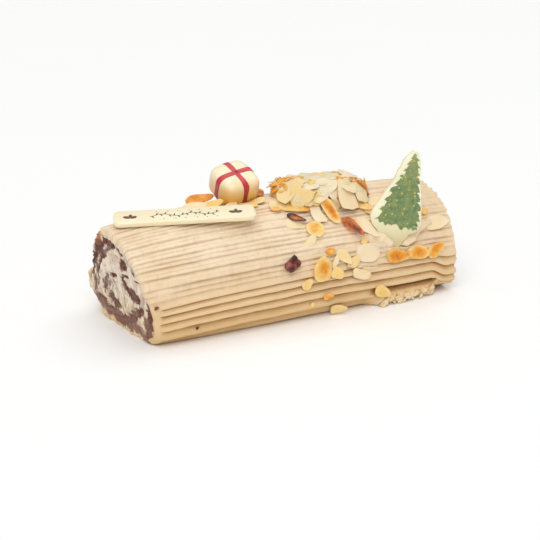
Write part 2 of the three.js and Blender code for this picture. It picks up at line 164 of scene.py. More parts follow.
# ---------------------------------------------------------------------------------------------
# The sponge. A sheet of chocolate sponge is baked, spread with cream and rolled up from one side;
# both ends of the roll are sawn off, so the cut faces show its open crumb and cream dragged over it.
# Sizes below are in millimetres, and MM turns them into the frame's metres.

# The log's section is a blunt oval, widest low down and flat where it stands.
CORE_HEIGHT = 32
WIDEST_HEIGHT = 24
COAT_TOP = 71.5
COAT_HALF_WIDTH = 48.5
WALL_SINK = 2.7
CROWN_POWER = 1.9
WALL_POWER = 4
# Its two cuts, and how it tapers toward them.
LEFT_FACE_X = -111
RIGHT_FACE_X = 116
LOG_LENGTH = RIGHT_FACE_X - LEFT_FACE_X
LEFT_CUT_YAW = math.radians(5)
LEFT_CUT_LEAN = math.radians(6)
LEAN_PIVOT_HEIGHT = 30
LEFT_TAPER = 0.08
RIGHT_TAPER = 0.03
# The roll inside the coat, wound in from the front foot in equal steps.
COAT_THICKNESS = 4.5
ROLL_INSET = COAT_THICKNESS + 0.8
SPONGE_THICKNESS = 7.5
TURN_PITCH = 12.5
STEPS_PER_TURN = 24
ROLL_STEPS = 61
DIVE_START = 0.84
CELLS_ALONG_ROLL = 14

LATTICE_SIZE = 97
OUTLINE_HALVINGS = 36


def smooth_step(value, low, high):
    share = np.clip((value - low) / (high - low), 0, 1)
    return share * share * (3 - 2 * share)


def soft_noise(across, along, seed):
    """Smooth noise between -1 and 1 with one bump for each unit of a plane."""
    lattice = np.random.default_rng(seed).uniform(-1, 1, (LATTICE_SIZE, LATTICE_SIZE))
    i, j = np.floor(across).astype(int), np.floor(along).astype(int)
    p, q = smooth_step(across - i, 0, 1), smooth_step(along - j, 0, 1)
    i, next_i = i % LATTICE_SIZE, (i + 1) % LATTICE_SIZE
    j, next_j = j % LATTICE_SIZE, (j + 1) % LATTICE_SIZE
    low = lattice[i, j] * (1 - p) + lattice[next_i, j] * p
    high = lattice[i, next_j] * (1 - p) + lattice[next_i, next_j] * p
    return low * (1 - q) + high * q


def layered_noise(across, along, layers, start=0.0):
    """Adds layers of soft noise, each with its strength, its bumps' size both ways and its seed."""
    total = start
    for strength, size_across, size_along, seed in layers:
        total = total + strength * soft_noise(across / size_across, along / size_along, seed)
    return total


def outline_reach(angle, inset):
    """How far the log's section, drawn in by inset, reaches from its core in each direction."""
    angle = np.asarray(angle, float)
    near, far = np.zeros_like(angle), np.full_like(angle, 2.0 * COAT_TOP)
    for _ in range(OUTLINE_HALVINGS):
        middle = (near + far) / 2
        y, z = middle * np.cos(angle), CORE_HEIGHT + middle * np.sin(angle)
        above = z > WIDEST_HEIGHT
        half_height = np.where(above, COAT_TOP - WIDEST_HEIGHT - inset, WIDEST_HEIGHT + WALL_SINK)
        power = np.where(above, CROWN_POWER, WALL_POWER)
        form = (np.abs(y) / (COAT_HALF_WIDTH - inset)) ** power
        form += (np.abs(z - WIDEST_HEIGHT) / half_height) ** power
        inside = (form < 1) & (z >= 0)
        near, far = np.where(inside, middle, near), np.where(inside, far, middle)
    return near


def foot_angle(inset):
    """The angle, round the core, of the front foot of the section drawn in by inset."""
    rise = (WIDEST_HEIGHT / (WIDEST_HEIGHT + WALL_SINK)) ** WALL_POWER
    half_width = (COAT_HALF_WIDTH - inset) * (1 - rise) ** (1 / WALL_POWER)
    return math.pi + math.atan2(CORE_HEIGHT, half_width)


def section_point(angle, reach):
    return reach * np.cos(angle), np.maximum(0, CORE_HEIGHT + reach * np.sin(angle))


def on_log(y, z, share):
    """Carries points of the section to their share of the way from the left cut to the right one."""
    along = 2 * share - 1
    size = 1 - np.where(along < 0, LEFT_TAPER, RIGHT_TAPER) * np.abs(along) ** 3
    skew = math.tan(LEFT_CUT_YAW) * y * size + math.tan(LEFT_CUT_LEAN) * (z * size - LEAN_PIVOT_HEIGHT)
    left = LEFT_FACE_X - skew
    return np.stack([left + (RIGHT_FACE_X - left) * share, y * size, z * size], -1)


def roll_point(step, depth):
    """A point of the roll's spiral, depth in from its outline, step by step from the front foot."""
    angle = foot_angle(ROLL_INSET) - 2 * math.pi * step / STEPS_PER_TURN
    return section_point(angle, outline_reach(angle, ROLL_INSET) - depth)


def winding_depth(step):
    """How deep the spiral lies: each turn keeps its depth, and dives under the last one at its end."""
    turns = np.maximum(0, step) / STEPS_PER_TURN
    return TURN_PITCH * (np.floor(turns) + smooth_step(turns % 1, DIVE_START, 1))


def corners_of(piece):
    """A mesh's corners, one row each."""
    corners = np.empty(len(piece.data.vertices) * 3, np.float32)
    piece.data.vertices.foreach_get("co", corners)
    return corners.reshape(-1, 3).astype(float)


def place_corners(piece, points):
    piece.data.vertices.foreach_set("co", (np.asarray(points) * MM).astype(np.float32).ravel())
    piece.data.update()


def grid_piece(name, columns, rows):
    """A grid of cells to be bent into shape; gives the object and each corner's column and row."""
    piece = add_shape("grid", name, x_subdivisions=columns, y_subdivisions=rows, size=2)
    corners = corners_of(piece)
    column = np.rint((corners[:, 0] + 1) / 2 * columns).astype(int)
    row = np.rint((corners[:, 1] + 1) / 2 * rows).astype(int)
    return piece, column, row


def keep_values(mesh, name, values):
    """Stores a number at each corner, one for each or the same for all, for the material to read."""
    layer = mesh.attributes.new(name, "FLOAT", "POINT")
    layer.data.foreach_set("value", np.full(len(mesh.vertices), values, np.float32))


def close_up(piece, smooth_angle=None):
    """Welds the seam, fills what is left open and turns all faces outwards."""
    bpy.ops.object.select_all(action="DESELECT")
    bpy.context.view_layer.objects.active = piece
    piece.select_set(True)
    bpy.ops.object.mode_set(mode="EDIT")
    bpy.ops.mesh.select_all(action="SELECT")
    bpy.ops.mesh.remove_doubles(threshold=0.002 * MM)
    bpy.ops.mesh.select_all(action="SELECT")
    bpy.ops.mesh.fill_holes(sides=0)
    bpy.ops.mesh.select_all(action="SELECT")
    bpy.ops.mesh.normals_make_consistent(inside=False)
    bpy.ops.object.mode_set(mode="OBJECT")
    if smooth_angle is None:
        bpy.ops.object.shade_smooth()
    else:
        bpy.ops.object.shade_smooth_by_angle(angle=smooth_angle)


# What the saw left on the left cut, seen along the log: bare crumb shows in these patches and
# cream is dragged over the rest. Each has its middle across and up, half-sizes, turn and strength.
CRUMB_PATCHES = [
    (3, 56, 10, 2.4, 6, 1.25), (-10, 53.5, 4.6, 1.5, 22, 1.1), (14, 53, 6, 3.4, -42, 1.3),
    (22, 45, 10, 3.0, -48, 1.2), (34, 35, 10, 4.6, -56, 1.2), (27, 47, 9, 4.0, -50, 1.1),
    (39, 28, 5, 3.0, -60, 1.0), (5, 51, 6.5, 1.1, -24, 0.8), (14, 45.5, 8, 1.9, -36, 0.85),
    (21, 37.5, 7, 1.8, -55, 0.9), (27, 29, 11, 2.2, -76, 0.6), (32, 22, 9, 2.0, -82, 0.6),
    (-12.5, 44.8, 4.6, 3.3, -10, 1.3), (-24, 43.5, 3.0, 1.9, -15, 1.3), (-28.5, 41, 3.0, 0.9, 35, 0.8),
    (-28, 38.6, 2.2, 0.8, 10, 0.8), (-13, 38.4, 3.2, 0.9, 0, 1.0), (-9, 36, 3.0, 1.2, -40, 1.0),
    (-11, 33.4, 3.4, 1.8, -20, 0.9), (-20, 27.6, 7.5, 3.6, 14, 1.1), (-13, 30.6, 4.4, 2.2, 10, 0.85),
    (7, 33.8, 6, 1.3, -12, 1.25), (13, 31, 5, 1.5, -20, 0.7), (5, 29, 2.6, 1.5, 0, 0.7),
    (15, 26.5, 7.5, 3.0, -20, 0.66), (18, 22.5, 3.6, 1.5, -78, 1.25), (10, 21.5, 6, 1.8, 10, 0.6),
    (6, 16.4, 6.4, 3.4, 15, 1.1), (2, 6.8, 27, 4.0, 2, 1.15), (-17, 13, 8.5, 3.4, -42, 1.1),
    (-26, 18.5, 6, 2.4, -36, 0.9), (-37, 17, 12, 4.2, -70, 1.05), (-31, 3.5, 6, 3.0, -40, 1.0),
    (27, 11.5, 7, 4.2, 10, 1.15),
]
PATCH_CORE, PATCH_EDGE = 0.7, 1.6
PATCH_STREAKS = [(0.36, 1.3, 8, 32), (0.24, 0.7, 3.2, 33)]
CRUMB_GRAIN = [(0.34, 1.5, 1.5, 41), (0.26, 0.8, 0.8, 42)]
TURN_SLIP, CORNER_SLIP = 3.6, 5.5
BULGE, BULGE_GROWTH = 1.4, 2.4
SPONGE_CELLS_ROUND, SPONGE_CELLS_DEEP = 860, 14


def saw_strokes(y, z):
    """Places across and along the saw's slanting strokes over a cut."""
    return 0.9 * y - 0.43 * z, 0.9 * z + 0.43 * y


def bare_crumb(y, z):
    """How bare the crumb is: 1 where the saw left it clean, 0 where cream was dragged over it."""
    streaky = layered_noise(*saw_strokes(y, z), PATCH_STREAKS)
    bare = np.zeros(np.shape(y))
    for patch_y, patch_z, half_long, half_wide, turn, strength in CRUMB_PATCHES:
        c, s = math.cos(math.radians(turn)), math.sin(math.radians(turn))
        p = ((y - patch_y) * c + (z - patch_z) * s) / half_long
        q = ((z - patch_z) * c - (y - patch_y) * s) / half_wide
        patch = strength * (1 - smooth_step(np.hypot(p, q) + streaky, PATCH_CORE, PATCH_EDGE))
        bare = np.maximum(bare, patch)
    return bare


def rolled_slab(name, outer, inner, first_step, last_step, cells_round, cells_deep, cut_relief, spill=0.0):
    """A slab of the roll between two curves of its section, with fine cells on both cuts."""
    shares = np.linspace(0, 1, CELLS_ALONG_ROLL + 1)
    depths = np.linspace(0, 1, cells_deep + 1)
    loop = [(d, 0.0, -1) for d in depths] + [(1.0, s, 0) for s in shares[1:-1]]
    loop += [(d, 1.0, 1) for d in depths[::-1]] + [(0.0, s, 0) for s in shares[::-1][1:-1]]
    loop = np.array(loop + loop[:1])
    piece, column, row = grid_piece(name, cells_round, len(loop) - 1)
    step = first_step + (last_step - first_step) * column / cells_round
    depth, share, side = loop[row].T
    (outer_y, outer_z), (inner_y, inner_z) = outer(step, share), inner(step)
    spilled = spill * side * side * (1 + 0.8 * soft_noise(step * 1.7, depth * 0 + 3, 34))
    spread_depth = 0.5 + (depth - 0.5) * (1 + spilled)
    y = outer_y + (inner_y - outer_y) * spread_depth
    z = np.maximum(outer_z + (inner_z - outer_z) * spread_depth, 0.2 * side * side)
    points = on_log(y, z, share)
    bare = bare_crumb(points[:, 1], points[:, 2])
    points[:, 0] += side * cut_relief(points[:, 1], points[:, 2], depth, bare)
    place_corners(piece, points)
    keep_values(piece.data, "bare", np.where(side != 0, bare, 1))
    keep_values(piece.data, "crust", np.where(side == 0, depth < 0.5, 1 - smooth_step(depth, 0.26, 0.46)))
    return piece


def set_back(y, z):
    """At the back of the left cut the outer turn has slipped and lies deeper than the rest."""
    past_turn = 0.75 * (y - 13) + 0.66 * (z - 55)
    past_corner = 0.8 * (y - 34) + 0.45 * (10 - z)
    slip = TURN_SLIP * smooth_step(past_turn, -0.2, 1.8) * smooth_step(z, 15, 20)
    return slip + CORNER_SLIP * smooth_step(past_corner, 0, 2.6) * (z < 17)


def crumb_relief(y, z, depth, bare):
    """Torn crumb where the cut is bare, and a thicker drawn skin of cream elsewhere."""
    crumb = layered_noise(y, z, CRUMB_GRAIN)
    lumps = layered_noise(y, z, [(0.6, 5, 5, 43)])
    drawn = layered_noise(*saw_strokes(y, z), [(0.5, 1.2, 8, 44)])
    thick = (1 - bare) * (0.3 + 0.7 * smooth_step(z, 4, 11))
    relief = lumps + crumb * (0.35 + 0.65 * bare) + (0.5 + drawn) * thick - 0.9 * (1 - thick)
    return relief - set_back(y, z)


def sponge_outer(step, share):
    """The sheet's outer face, which bulges at the back of the left cut where the coat has pulled away."""
    near_cut = 1 - smooth_step(LOG_LENGTH * share, 6, 22)
    bulge = smooth_step(step, 9.2, 10.6) * (1 - smooth_step(step, 14.2, 15.4)) * near_cut
    bulge = bulge * (BULGE + BULGE_GROWTH * smooth_step(step, 9.6, 11.4))
    return roll_point(step, winding_depth(step) - bulge)


def sponge_inner(step):
    return roll_point(step, winding_depth(step) + SPONGE_THICKNESS)


sponge = rolled_slab(
    "rolled_sponge", sponge_outer, sponge_inner,
    0, ROLL_STEPS, SPONGE_CELLS_ROUND, SPONGE_CELLS_DEEP, crumb_relief,
)
close_up(sponge, math.radians(60))

PORE_BROWN = srgb(76, 44, 34)
CRUMB_BROWN = srgb(138, 96, 80)
CRUMB_PALE = srgb(168, 130, 114)
CRUMB_AT_FOOT = srgb(150, 110, 98)
CREAM_FOOT_REFLECTION = srgb(236, 206, 156)
CREAM_LOW = srgb(238, 220, 190)
CREAM_PALE = srgb(236, 221, 200)
CREAM_WITH_CRUMB = srgb(174, 144, 128)
CRUST_GOLD = srgb(222, 172, 112)
CRUST_BROWN = srgb(172, 114, 70)


def spread(tree, value, low, high, to_low=0.0, to_high=1.0):
    """Stretches a value's range from low to high over another range."""
    sockets = {"Value": value, "From Min": low, "From Max": high, "To Min": to_low, "To Max": to_high}
    return add_node(tree, "ShaderNodeMapRange", sockets).outputs[0]


def tint(tree, tone, value, low, high, most, colour):
    """Lays a colour over a tone, up to its most, while a value goes from low to high."""
    return mix(tree, spread(tree, value, low, high, 0, most), tone, colour)


def combine(tree, operation, first, second):
    return add_node(tree, "ShaderNodeMath", {0: first, 1: second}, operation=operation).outputs[0]


def jitter(tree, value, pattern, most):
    """Shifts a value up and down with a noise pattern."""
    return combine(tree, "ADD", value, spread(tree, pattern, 0.3, 0.7, -most, most))


def bump(tree, height, distance, strength=1.0, under=None):
    sockets = {"Height": height, "Distance": distance, "Strength": strength}
    if under:
        sockets["Normal"] = under
    return add_node(tree, "ShaderNodeBump", sockets).outputs[0]


def axis_of(tree, place, axis):
    return add_node(tree, "ShaderNodeSeparateXYZ", {"Vector": place}).outputs[axis]


def kept_value(tree, name):
    """Reads what keep_values has stored on the mesh."""
    return add_node(tree, "ShaderNodeAttribute", attribute_name=name).outputs["Fac"]


def face_tones(tree, place):
    """The colour of a cut: mauve-brown crumb, darkest in its pores, under streaks of cream, which near the
    foot takes a painted golden reflection.
    """
    fine, coarse = noise(tree, place, 900, 4), noise(tree, place, 180, 2)
    streaks = noise(tree, place, 330, 4, 0.6, stretch=(1.0, 1.0, 0.28))
    height = axis_of(tree, place, "Z")
    crumb = mix(tree, spread(tree, fine, 0.36, 0.64), PORE_BROWN, CRUMB_BROWN)
    crumb = tint(tree, crumb, coarse, 0.5, 0.72, 0.75, CRUMB_PALE)
    crumb = tint(tree, crumb, height, 18 * MM, 8 * MM, 0.7, CRUMB_AT_FOOT)
    # Near the foot the cream is tinted golden: a painted reflection.
    cream = mix(tree, spread(tree, height, 4 * MM, 14 * MM), CREAM_FOOT_REFLECTION, CREAM_LOW)
    cream = tint(tree, cream, height, 18 * MM, 30 * MM, 1, CREAM_PALE)
    cream = tint(tree, cream, streaks, 0.46, 0.66, 0.8, CREAM_WITH_CRUMB)
    bare = jitter(tree, kept_value(tree, "bare"), fine, 0.22)
    bare = jitter(tree, bare, streaks, 0.2)
    return fine, mix(tree, spread(tree, bare, 0.22, 0.66), cream, crumb)


sponge_material, tree, shader = new_material("chocolate_sponge", roughness=0.85, specular_ior_level=0.25)
place = object_place(tree)
fine, tone = face_tones(tree, place)
pores = add_node(tree, "ShaderNodeTexVoronoi", {"Vector": place, "Scale": 620}).outputs["Distance"]
baked = mix(tree, spread(tree, noise(tree, place, 220, 3), 0.4, 0.62), CRUST_GOLD, CRUST_BROWN)
# Only the upper turns still show their crust, since cream hides it lower down.
crust_shows = spread(tree, axis_of(tree, place, "Z"), 46 * MM, 56 * MM)
tone = mix(tree, combine(tree, "MULTIPLY", kept_value(tree, "crust"), crust_shows), tone, baked)
set_surface(tree, shader, tone, bump(tree, combine(tree, "ADD", fine, pores), 0.5 * MM, 0.8))
sponge.data.materials.append(sponge_material)
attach(sponge, "root")
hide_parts("sponge_roll")

# ---------------------------------------------------------------------------------------------
# The cream filling. Vanilla cream fills the channel between the turns of sponge, the core and the
# wedge at the front foot. At the cuts it is drawn over the crumb and picks up specks of it.

CLEARANCE = 0.3
WEDGE_STEP = 21
CREAM_CORE_Y, CREAM_CORE_Z = 1.5, CORE_HEIGHT - 3.5
CREAM_CELLS_ROUND, CREAM_CELLS_DEEP = 700, 12
CREAM_SPILL = 0.22


def cream_outer(step, share):
    wedge = step < 0
    depth = np.where(wedge, 0, winding_depth(step) + SPONGE_THICKNESS + CLEARANCE)
    return roll_point(np.where(wedge, step + STEPS_PER_TURN, step), depth)


def cream_inner(step):
    core = step > ROLL_STEPS - STEPS_PER_TURN
    next_turn = step + STEPS_PER_TURN
    y, z = roll_point(next_turn, winding_depth(next_turn) - CLEARANCE)
    return np.where(core, CREAM_CORE_Y, y), np.where(core, CREAM_CORE_Z, z)


def smear_relief(y, z, depth, bare):
    """Strokes drawn by the saw over lumps of cream, lower where crumb shows and along each edge."""
    strokes = layered_noise(*saw_strokes(y, z), [(0.4, 1.3, 9, 51)])
    lumps, grain = soft_noise(y / 5, z / 5, 43), soft_noise(y / 1.1, z / 1.1, 52)
    relief = 0.45 + 0.6 * lumps + 1.5 * strokes + 0.2 * grain
    return relief - 1.1 * bare - 0.5 * smooth_step(np.abs(depth - 0.5), 0.42, 0.5) - set_back(y, z)


filling = rolled_slab(
    "vanilla_filling", cream_outer, cream_inner,
    WEDGE_STEP - STEPS_PER_TURN, ROLL_STEPS, CREAM_CELLS_ROUND, CREAM_CELLS_DEEP, smear_relief, CREAM_SPILL,
)
close_up(filling, math.radians(60))

cream_material, tree, shader = new_material(
    "vanilla_cream", roughness=0.5, subsurface_weight=0.12, subsurface_scale=2 * MM
)
fine, tone = face_tones(tree, object_place(tree))
set_surface(tree, shader, tone, bump(tree, fine, 0.4 * MM, 0.6))
filling.data.materials.append(cream_material)
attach(filling, "root")
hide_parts("cream_filling")

# ---------------------------------------------------------------------------------------------
# The buttercream coat. It is spread over the roll and drawn along with a toothed comb, coarse on
# the walls and fine over the crown. Beside the cuts a knife has smoothed it, and at the front right
# its foot has torn off and slumped into crumbs.

# Grooves of the front wall, up from its foot, with their depths; the back wall mirrors them.
WALL_GROOVES = [(11.8, 2.0), (19.2, 2.6), (24.5, 2.5), (29.8, 2.5), (34.3, 1.9)]
FOOT_GROOVE = (0.0, 0.5)
CROWN_GROOVE_START = 39.0
CROWN_GROOVE_PITCH = 3.03
CROWN_GROOVE_DEPTHS = (0.9, 1.0, 1.2, 0.35, 1.15, 0.55, 1.1, 0.9, 0.95, 0.6, 1.1, 0.6, 1.0, 0.65)
# A ridge's mesh lines, as shares of the way from one groove to the next, and its steep lower lip.
WALL_STOPS = (0, 0.045, 0.1, 0.2, 0.34, 0.5, 0.66, 0.8, 0.9, 0.96)
CROWN_STOPS = (0, 0.13, 0.3, 0.52, 0.74, 0.9)
WALL_LIP, CROWN_LIP = 0.11, 0.26
WALL_HOLLOW, CROWN_HOLLOW = 1.7, 1.4
# The mesh along the log: from and to, from the left cut, and the count of its lines.
COAT_STRETCHES = [(0, 16, 20), (16, 196, 146), (196, LOG_LENGTH, 32)]
RIM_CELLS, SMEAR_CELLS = 5, 8
# How far cream is carried over the left cut, by the angle round the log's core in degrees.
SMEAR_ANGLES = (62, 72, 79, 95, 114, 135, 153, 165, 178, 192)
SMEAR_DEPTHS = (0, 2, 3.7, 5, 6.3, 8.5, 9.7, 6.8, 3, 0)
# Torn spots and smears: place along the log and up the girth, half-sizes, and how deep.
SPOTS = [
    (-103, 69, 3.6, 1.5, 0.9), (-107, 81.5, 3.0, 1.4, 0.8), (-82, 17, 1.6, 0.9, 1.2),
    (-100, 42, 5.5, 3.0, -0.5), (102, 54, 7.0, 1.3, 1.6), (-78, 79, 2.0, 0.8, 0.6),
    (28, 35.5, 3.5, 0.8, 1.2), (52, 34.5, 4.0, 0.9, 1.0), (75, 44.9, 5.5, 0.8, 2.2),
    (40, 34.6, 3.0, 0.8, 1.0),
]
# Folds of cream pushed up by the fir tree's foot and by flakes: crest by crest, each with its
# places along the log and up the girth, its height and its half-width.
FOLDS = [
    ([(47, 54.0), (52, 52.6), (56, 50.2), (59.5, 47.4), (61.0, 44.6)], 1.6, 3.2),
    ([(47, 51.6), (52, 50.0), (56.4, 47.2), (60.0, 43.6)], 2.3, 1.15),
    ([(49, 48.4), (53, 47.0), (57.0, 44.4), (60.4, 40.8)], 2.0, 1.15),
    ([(50, 45.4), (53.6, 44.0), (57.0, 41.6), (59.6, 39.0)], 1.6, 1.1),
    ([(69, 46.8), (74, 47.6), (79.4, 50.6), (84.5, 54.4), (91, 56.2), (97, 57.2)], 1.8, 2.2),
    ([(61, 43.2), (66, 42.2), (71, 42.0), (77, 42.2), (83, 43.2)], 1.4, 1.6),
    ([(0, 53.5), (5, 51.5), (11, 52.5)], 1.2, 2.2),
    ([(34, 33.5), (41, 33), (48, 33.6)], 1.0, 1.4),
]
FOLD_ROUNDNESS = 2.4
# The slump at the front right: where it begins and ends along the log, where the foot is missing
# altogether, and how far up the girth it reaches.
SLUMP_BEGINS, SLUMP_ENDS, FOOT_MISSING = (42, 54), (97, 99), (97.5, 99.5)
SLUMP_TOP, MISSING_FOOT = 17.5, 11.5
UNDERCUT, SLUMP_SWELL, DEEPEST = 4.1, 3.4, 4.1


def girth_table():
    """Angles round the core, and the girth from the front foot up to each of them."""
    angles = np.linspace(foot_angle(0), math.pi - foot_angle(0), 4001)
    y, z = section_point(angles, outline_reach(angles, 0))
    lengths = np.concatenate([[0], np.cumsum(np.hypot(np.diff(y), np.diff(z)))])
    return angles, lengths


GIRTH_ANGLES, GIRTH_LENGTHS = girth_table()
GIRTH = GIRTH_LENGTHS[-1]


def coat_rows():
    """The coat's mesh lines from the front foot to the back one: place along the girth and depth."""
    grooves = [FOOT_GROOVE, *WALL_GROOVES]
    crown_count = round((GIRTH / 2 - CROWN_GROOVE_START) / CROWN_GROOVE_PITCH)
    crown_pitch = (GIRTH / 2 - CROWN_GROOVE_START) / crown_count
    for i in range(crown_count + 1):
        depth = CROWN_GROOVE_DEPTHS[i % len(CROWN_GROOVE_DEPTHS)]
        grooves.append((CROWN_GROOVE_START + i * crown_pitch, depth))
    places, depths = [], []
    for (low, depth_low), (high, depth_high) in zip(grooves, grooves[1:]):
        wall = high <= CROWN_GROOVE_START + 0.1
        for stop in WALL_STOPS if wall else CROWN_STOPS:
            lip = smooth_step(stop, 0, WALL_LIP if wall else CROWN_LIP)
            hollow = stop ** (WALL_HOLLOW if wall else CROWN_HOLLOW)
            places.append(low + (high - low) * stop)
            depths.append(depth_low * (1 - lip) + lip * depth_high * hollow)
    places.append(GIRTH / 2)
    depths.append(grooves[-1][1])
    back = [GIRTH - place for place in places[-2::-1]]
    return np.array(places + back), np.array(depths + depths[-2::-1])


def coat_columns():
    """Shares of the way along the log, closer together where the coat bends over at the cuts."""
    stretches = [np.linspace(*stretch) for stretch in COAT_STRETCHES]
    return np.concatenate([stretches[0], *(stretch[1:] for stretch in stretches[1:])]) / LOG_LENGTH


def fold_height(x, girth):
    """How high the folds of cream stand, rounded on top."""
    height = np.zeros(np.shape(x))
    for path, high, half_width in FOLDS:
        for (x0, g0), (x1, g1) in zip(path, path[1:]):
            length = math.hypot(x1 - x0, g1 - g0)
            along = np.clip(((x - x0) * (x1 - x0) + (girth - g0) * (g1 - g0)) / length ** 2, 0, 1)
            away = np.hypot(x - x0 - along * (x1 - x0), girth - g0 - along * (g1 - g0))
            height = np.maximum(height, high * np.exp(-(away / half_width) ** FOLD_ROUNDNESS))
    return height


def ridge_sag(x, front):
    """How far the wall's ridges sag along the girth, toward both cuts and over the slump."""
    wall, foot = 1 - smooth_step(front, 34, 50), 1 - smooth_step(front, 8, 16)
    sag = wall * 2.5 * (np.minimum(x, 0) / 98) ** 2 + 2.5 * foot * (np.minimum(x + 20, 0) / 75) ** 2
    sag = sag + 5.6 * smooth_step(x, 93, 108) * (1 - smooth_step(front, 26, 44)) * smooth_step(front, 4, 14)
    sag = sag + 1.3 * smooth_step(x, 20, 60) * (1 - smooth_step(front, 23, 30))
    return np.minimum(sag, np.maximum(front - 1.5, 0) * 0.8)


def comb_strength(x, girth, front, smooth):
    """How deep the comb has bitten: nothing beside the cuts, and less toward the right."""
    strength = smooth * layered_noise(x, girth, [(0.16, 16, 6, 65), (0.12, 4, 3, 66)], start=1)
    strength = strength * (1.30 - 0.18 * smooth_step(x, 10, 60)) * (1 - 0.25 * smooth_step(x, 106, 114))
    return strength * (1 - 0.4 * smooth_step(x, 84, 100) * smooth_step(front, 58, 70))


def coat_surface(girth, groove, share):
    """Points of the coat's outer face, with depth below the comb's crests kept for the painted shade of its
    colour.
    """
    flat_y, flat_z = section_point(np.interp(girth, GIRTH_LENGTHS, GIRTH_ANGLES), 40)
    x = on_log(flat_y, flat_z, share)[..., 0]
    front = np.minimum(girth, GIRTH - girth)
    on_front = girth < GIRTH / 2
    wobble = layered_noise(x, girth, [(0.28, 26, 14, 62), (0.12, 7, 5, 63)])
    moved = girth - np.where(on_front, 1, -1) * ridge_sag(x, front) + wobble * smooth_step(front, 3, 12)

    # At the front right the coat has torn off under its second ridge and slumped on to the table.
    slumped = on_front * smooth_step(x, *SLUMP_BEGINS) * (1 - smooth_step(x, *SLUMP_ENDS))
    missing = on_front * smooth_step(x, *FOOT_MISSING)
    torn = soft_noise(x / 2.9, x * 0 + 11, 57)
    ragged = 3.2 + 3.0 * torn + 1.6 * soft_noise(x / 1.3, x * 0 + 7, 60)
    lowest = slumped * np.clip(ragged, 0.2, 8.0) + missing * (MISSING_FOOT - 2.5 * smooth_step(x, 104, 112))
    drawn_up = lowest + moved * (SLUMP_TOP - lowest) / SLUMP_TOP
    moved = np.where(on_front & (girth < SLUMP_TOP), drawn_up, moved)

    # The knife has left a smooth border beside the cuts, wider on the walls.
    border = np.where(front < 36, 4.0, -3.0) + 1.6 * soft_noise(girth / 9, share * 0, 64)
    smooth = smooth_step(LOG_LENGTH * share, border - 2.5, border + 1.5)
    low_part = 1 - smooth_step(girth, 14, SLUMP_TOP)
    strength = comb_strength(x, girth, front, smooth) * (1 - slumped * low_part)
    depth = groove * strength + (1 - smooth) * 0.45

    slump = UNDERCUT * smooth_step(moved, 12.4, 14) * (1 - smooth_step(moved, 16.6, 17.6))
    slump = slump - SLUMP_SWELL * (1 - smooth_step(moved, 8, 13))
    gaps = smooth_step(torn, 0.0, 0.9) * (1 - smooth_step(moved, lowest + 1.0, lowest + 5))
    lumpy = layered_noise(x, girth, [(1.3, 3.4, 3.0, 59), (1.0, 1.4, 4, 58)])
    depth = np.minimum(depth + slumped * (slump + lumpy * low_part + 2.4 * gaps), DEEPEST)

    # Long swells, fine lines from the comb's edge, and small dimples.
    depth = depth + 0.30 * soft_noise(x / 21, girth / 15, 67)
    depth = depth + 0.10 * soft_noise(x / 14, girth / 1.1, 68) * smooth
    depth = depth + 0.09 * soft_noise(x / 3.0, girth / 3.0, 69)
    for spot_x, spot_girth, half_x, half_girth, deep in SPOTS:
        inside = np.exp(-((x - spot_x) / half_x) ** 4 - ((girth - spot_girth) / half_girth) ** 4)
        depth = depth * (1 - 0.7 * inside) + deep * inside
    folds = fold_height(x, girth) * on_front
    # Painted shadow under the second ridge's lip over the slump: it darkens only the colour, not the form.
    shaded = slumped * 2.6 * smooth_step(moved, 12.8, 14) * (1 - smooth_step(moved, 16, 17.4))
    relief = depth * (1 - np.minimum(folds, 1)) + shaded
    return moved, depth * (1 - 0.4 * np.minimum(folds, 1)) - folds, relief


row_places, row_depths = coat_rows()
column_shares = coat_columns()
rim = np.linspace(0, math.pi / 2, RIM_CELLS + 1)[:-1]
girth_cells = len(row_places) - 1 + 2 * RIM_CELLS
length_cells = len(column_shares) - 1 + 2 * RIM_CELLS
coat, column, row = grid_piece("combed_buttercream", length_cells + SMEAR_CELLS, girth_cells)
smeared = np.maximum(SMEAR_CELLS - column, 0) / SMEAR_CELLS
column = np.maximum(column - SMEAR_CELLS, 0)
inner_column = np.clip(column - RIM_CELLS, 0, len(column_shares) - 1)
inner_row = np.clip(row - RIM_CELLS, 0, len(row_places) - 1)
share = column_shares[inner_column]
from_left = LOG_LENGTH * share
girth, depth, relief = coat_surface(row_places[inner_row], row_depths[inner_row], share)

# Past each border the coat turns in, through a quarter circle, to lie against the roll.
turn_column = np.minimum(column, length_cells - column)
turn_row = np.minimum(row, girth_cells - row)
angle_column = np.where(turn_column < RIM_CELLS, rim[np.minimum(turn_column, RIM_CELLS - 1)], math.pi / 2)
angle_row = np.where(turn_row < RIM_CELLS, rim[np.minimum(turn_row, RIM_CELLS - 1)], math.pi / 2)
turned_in = 1 - np.sin(angle_column) * np.sin(angle_row)
depth = depth + (COAT_THICKNESS - depth) * turned_in
inward = np.where(row > girth_cells / 2, -1.0, 1.0) * np.cos(angle_row)
angle = np.interp(girth - inward, GIRTH_LENGTHS, GIRTH_ANGLES)
degrees = np.degrees(angle)
near_left = 1 - smooth_step(from_left, 0, 24)

# At the upper front of the left cut the knife has carried the cream on over the sponge.
carried = np.interp(degrees, SMEAR_ANGLES, SMEAR_DEPTHS) * (1 + 0.22 * soft_noise(girth / 2.6, share * 0, 71))
over = smooth_step(carried, 0.5, 3.5)
depth = depth + carried * smeared
folds_over = 0.5 * soft_noise(smeared * 3.5, girth / 2.5, 72) * smeared
standing = 2.4 - 1.3 * smooth_step(smeared, 0, 0.5) - 2.0 * smooth_step(smeared, 0.7, 1) + folds_over
proud = over * near_left * standing
y, z = section_point(angle, outline_reach(angle, 0) - depth)
points = on_log(y, z, share)

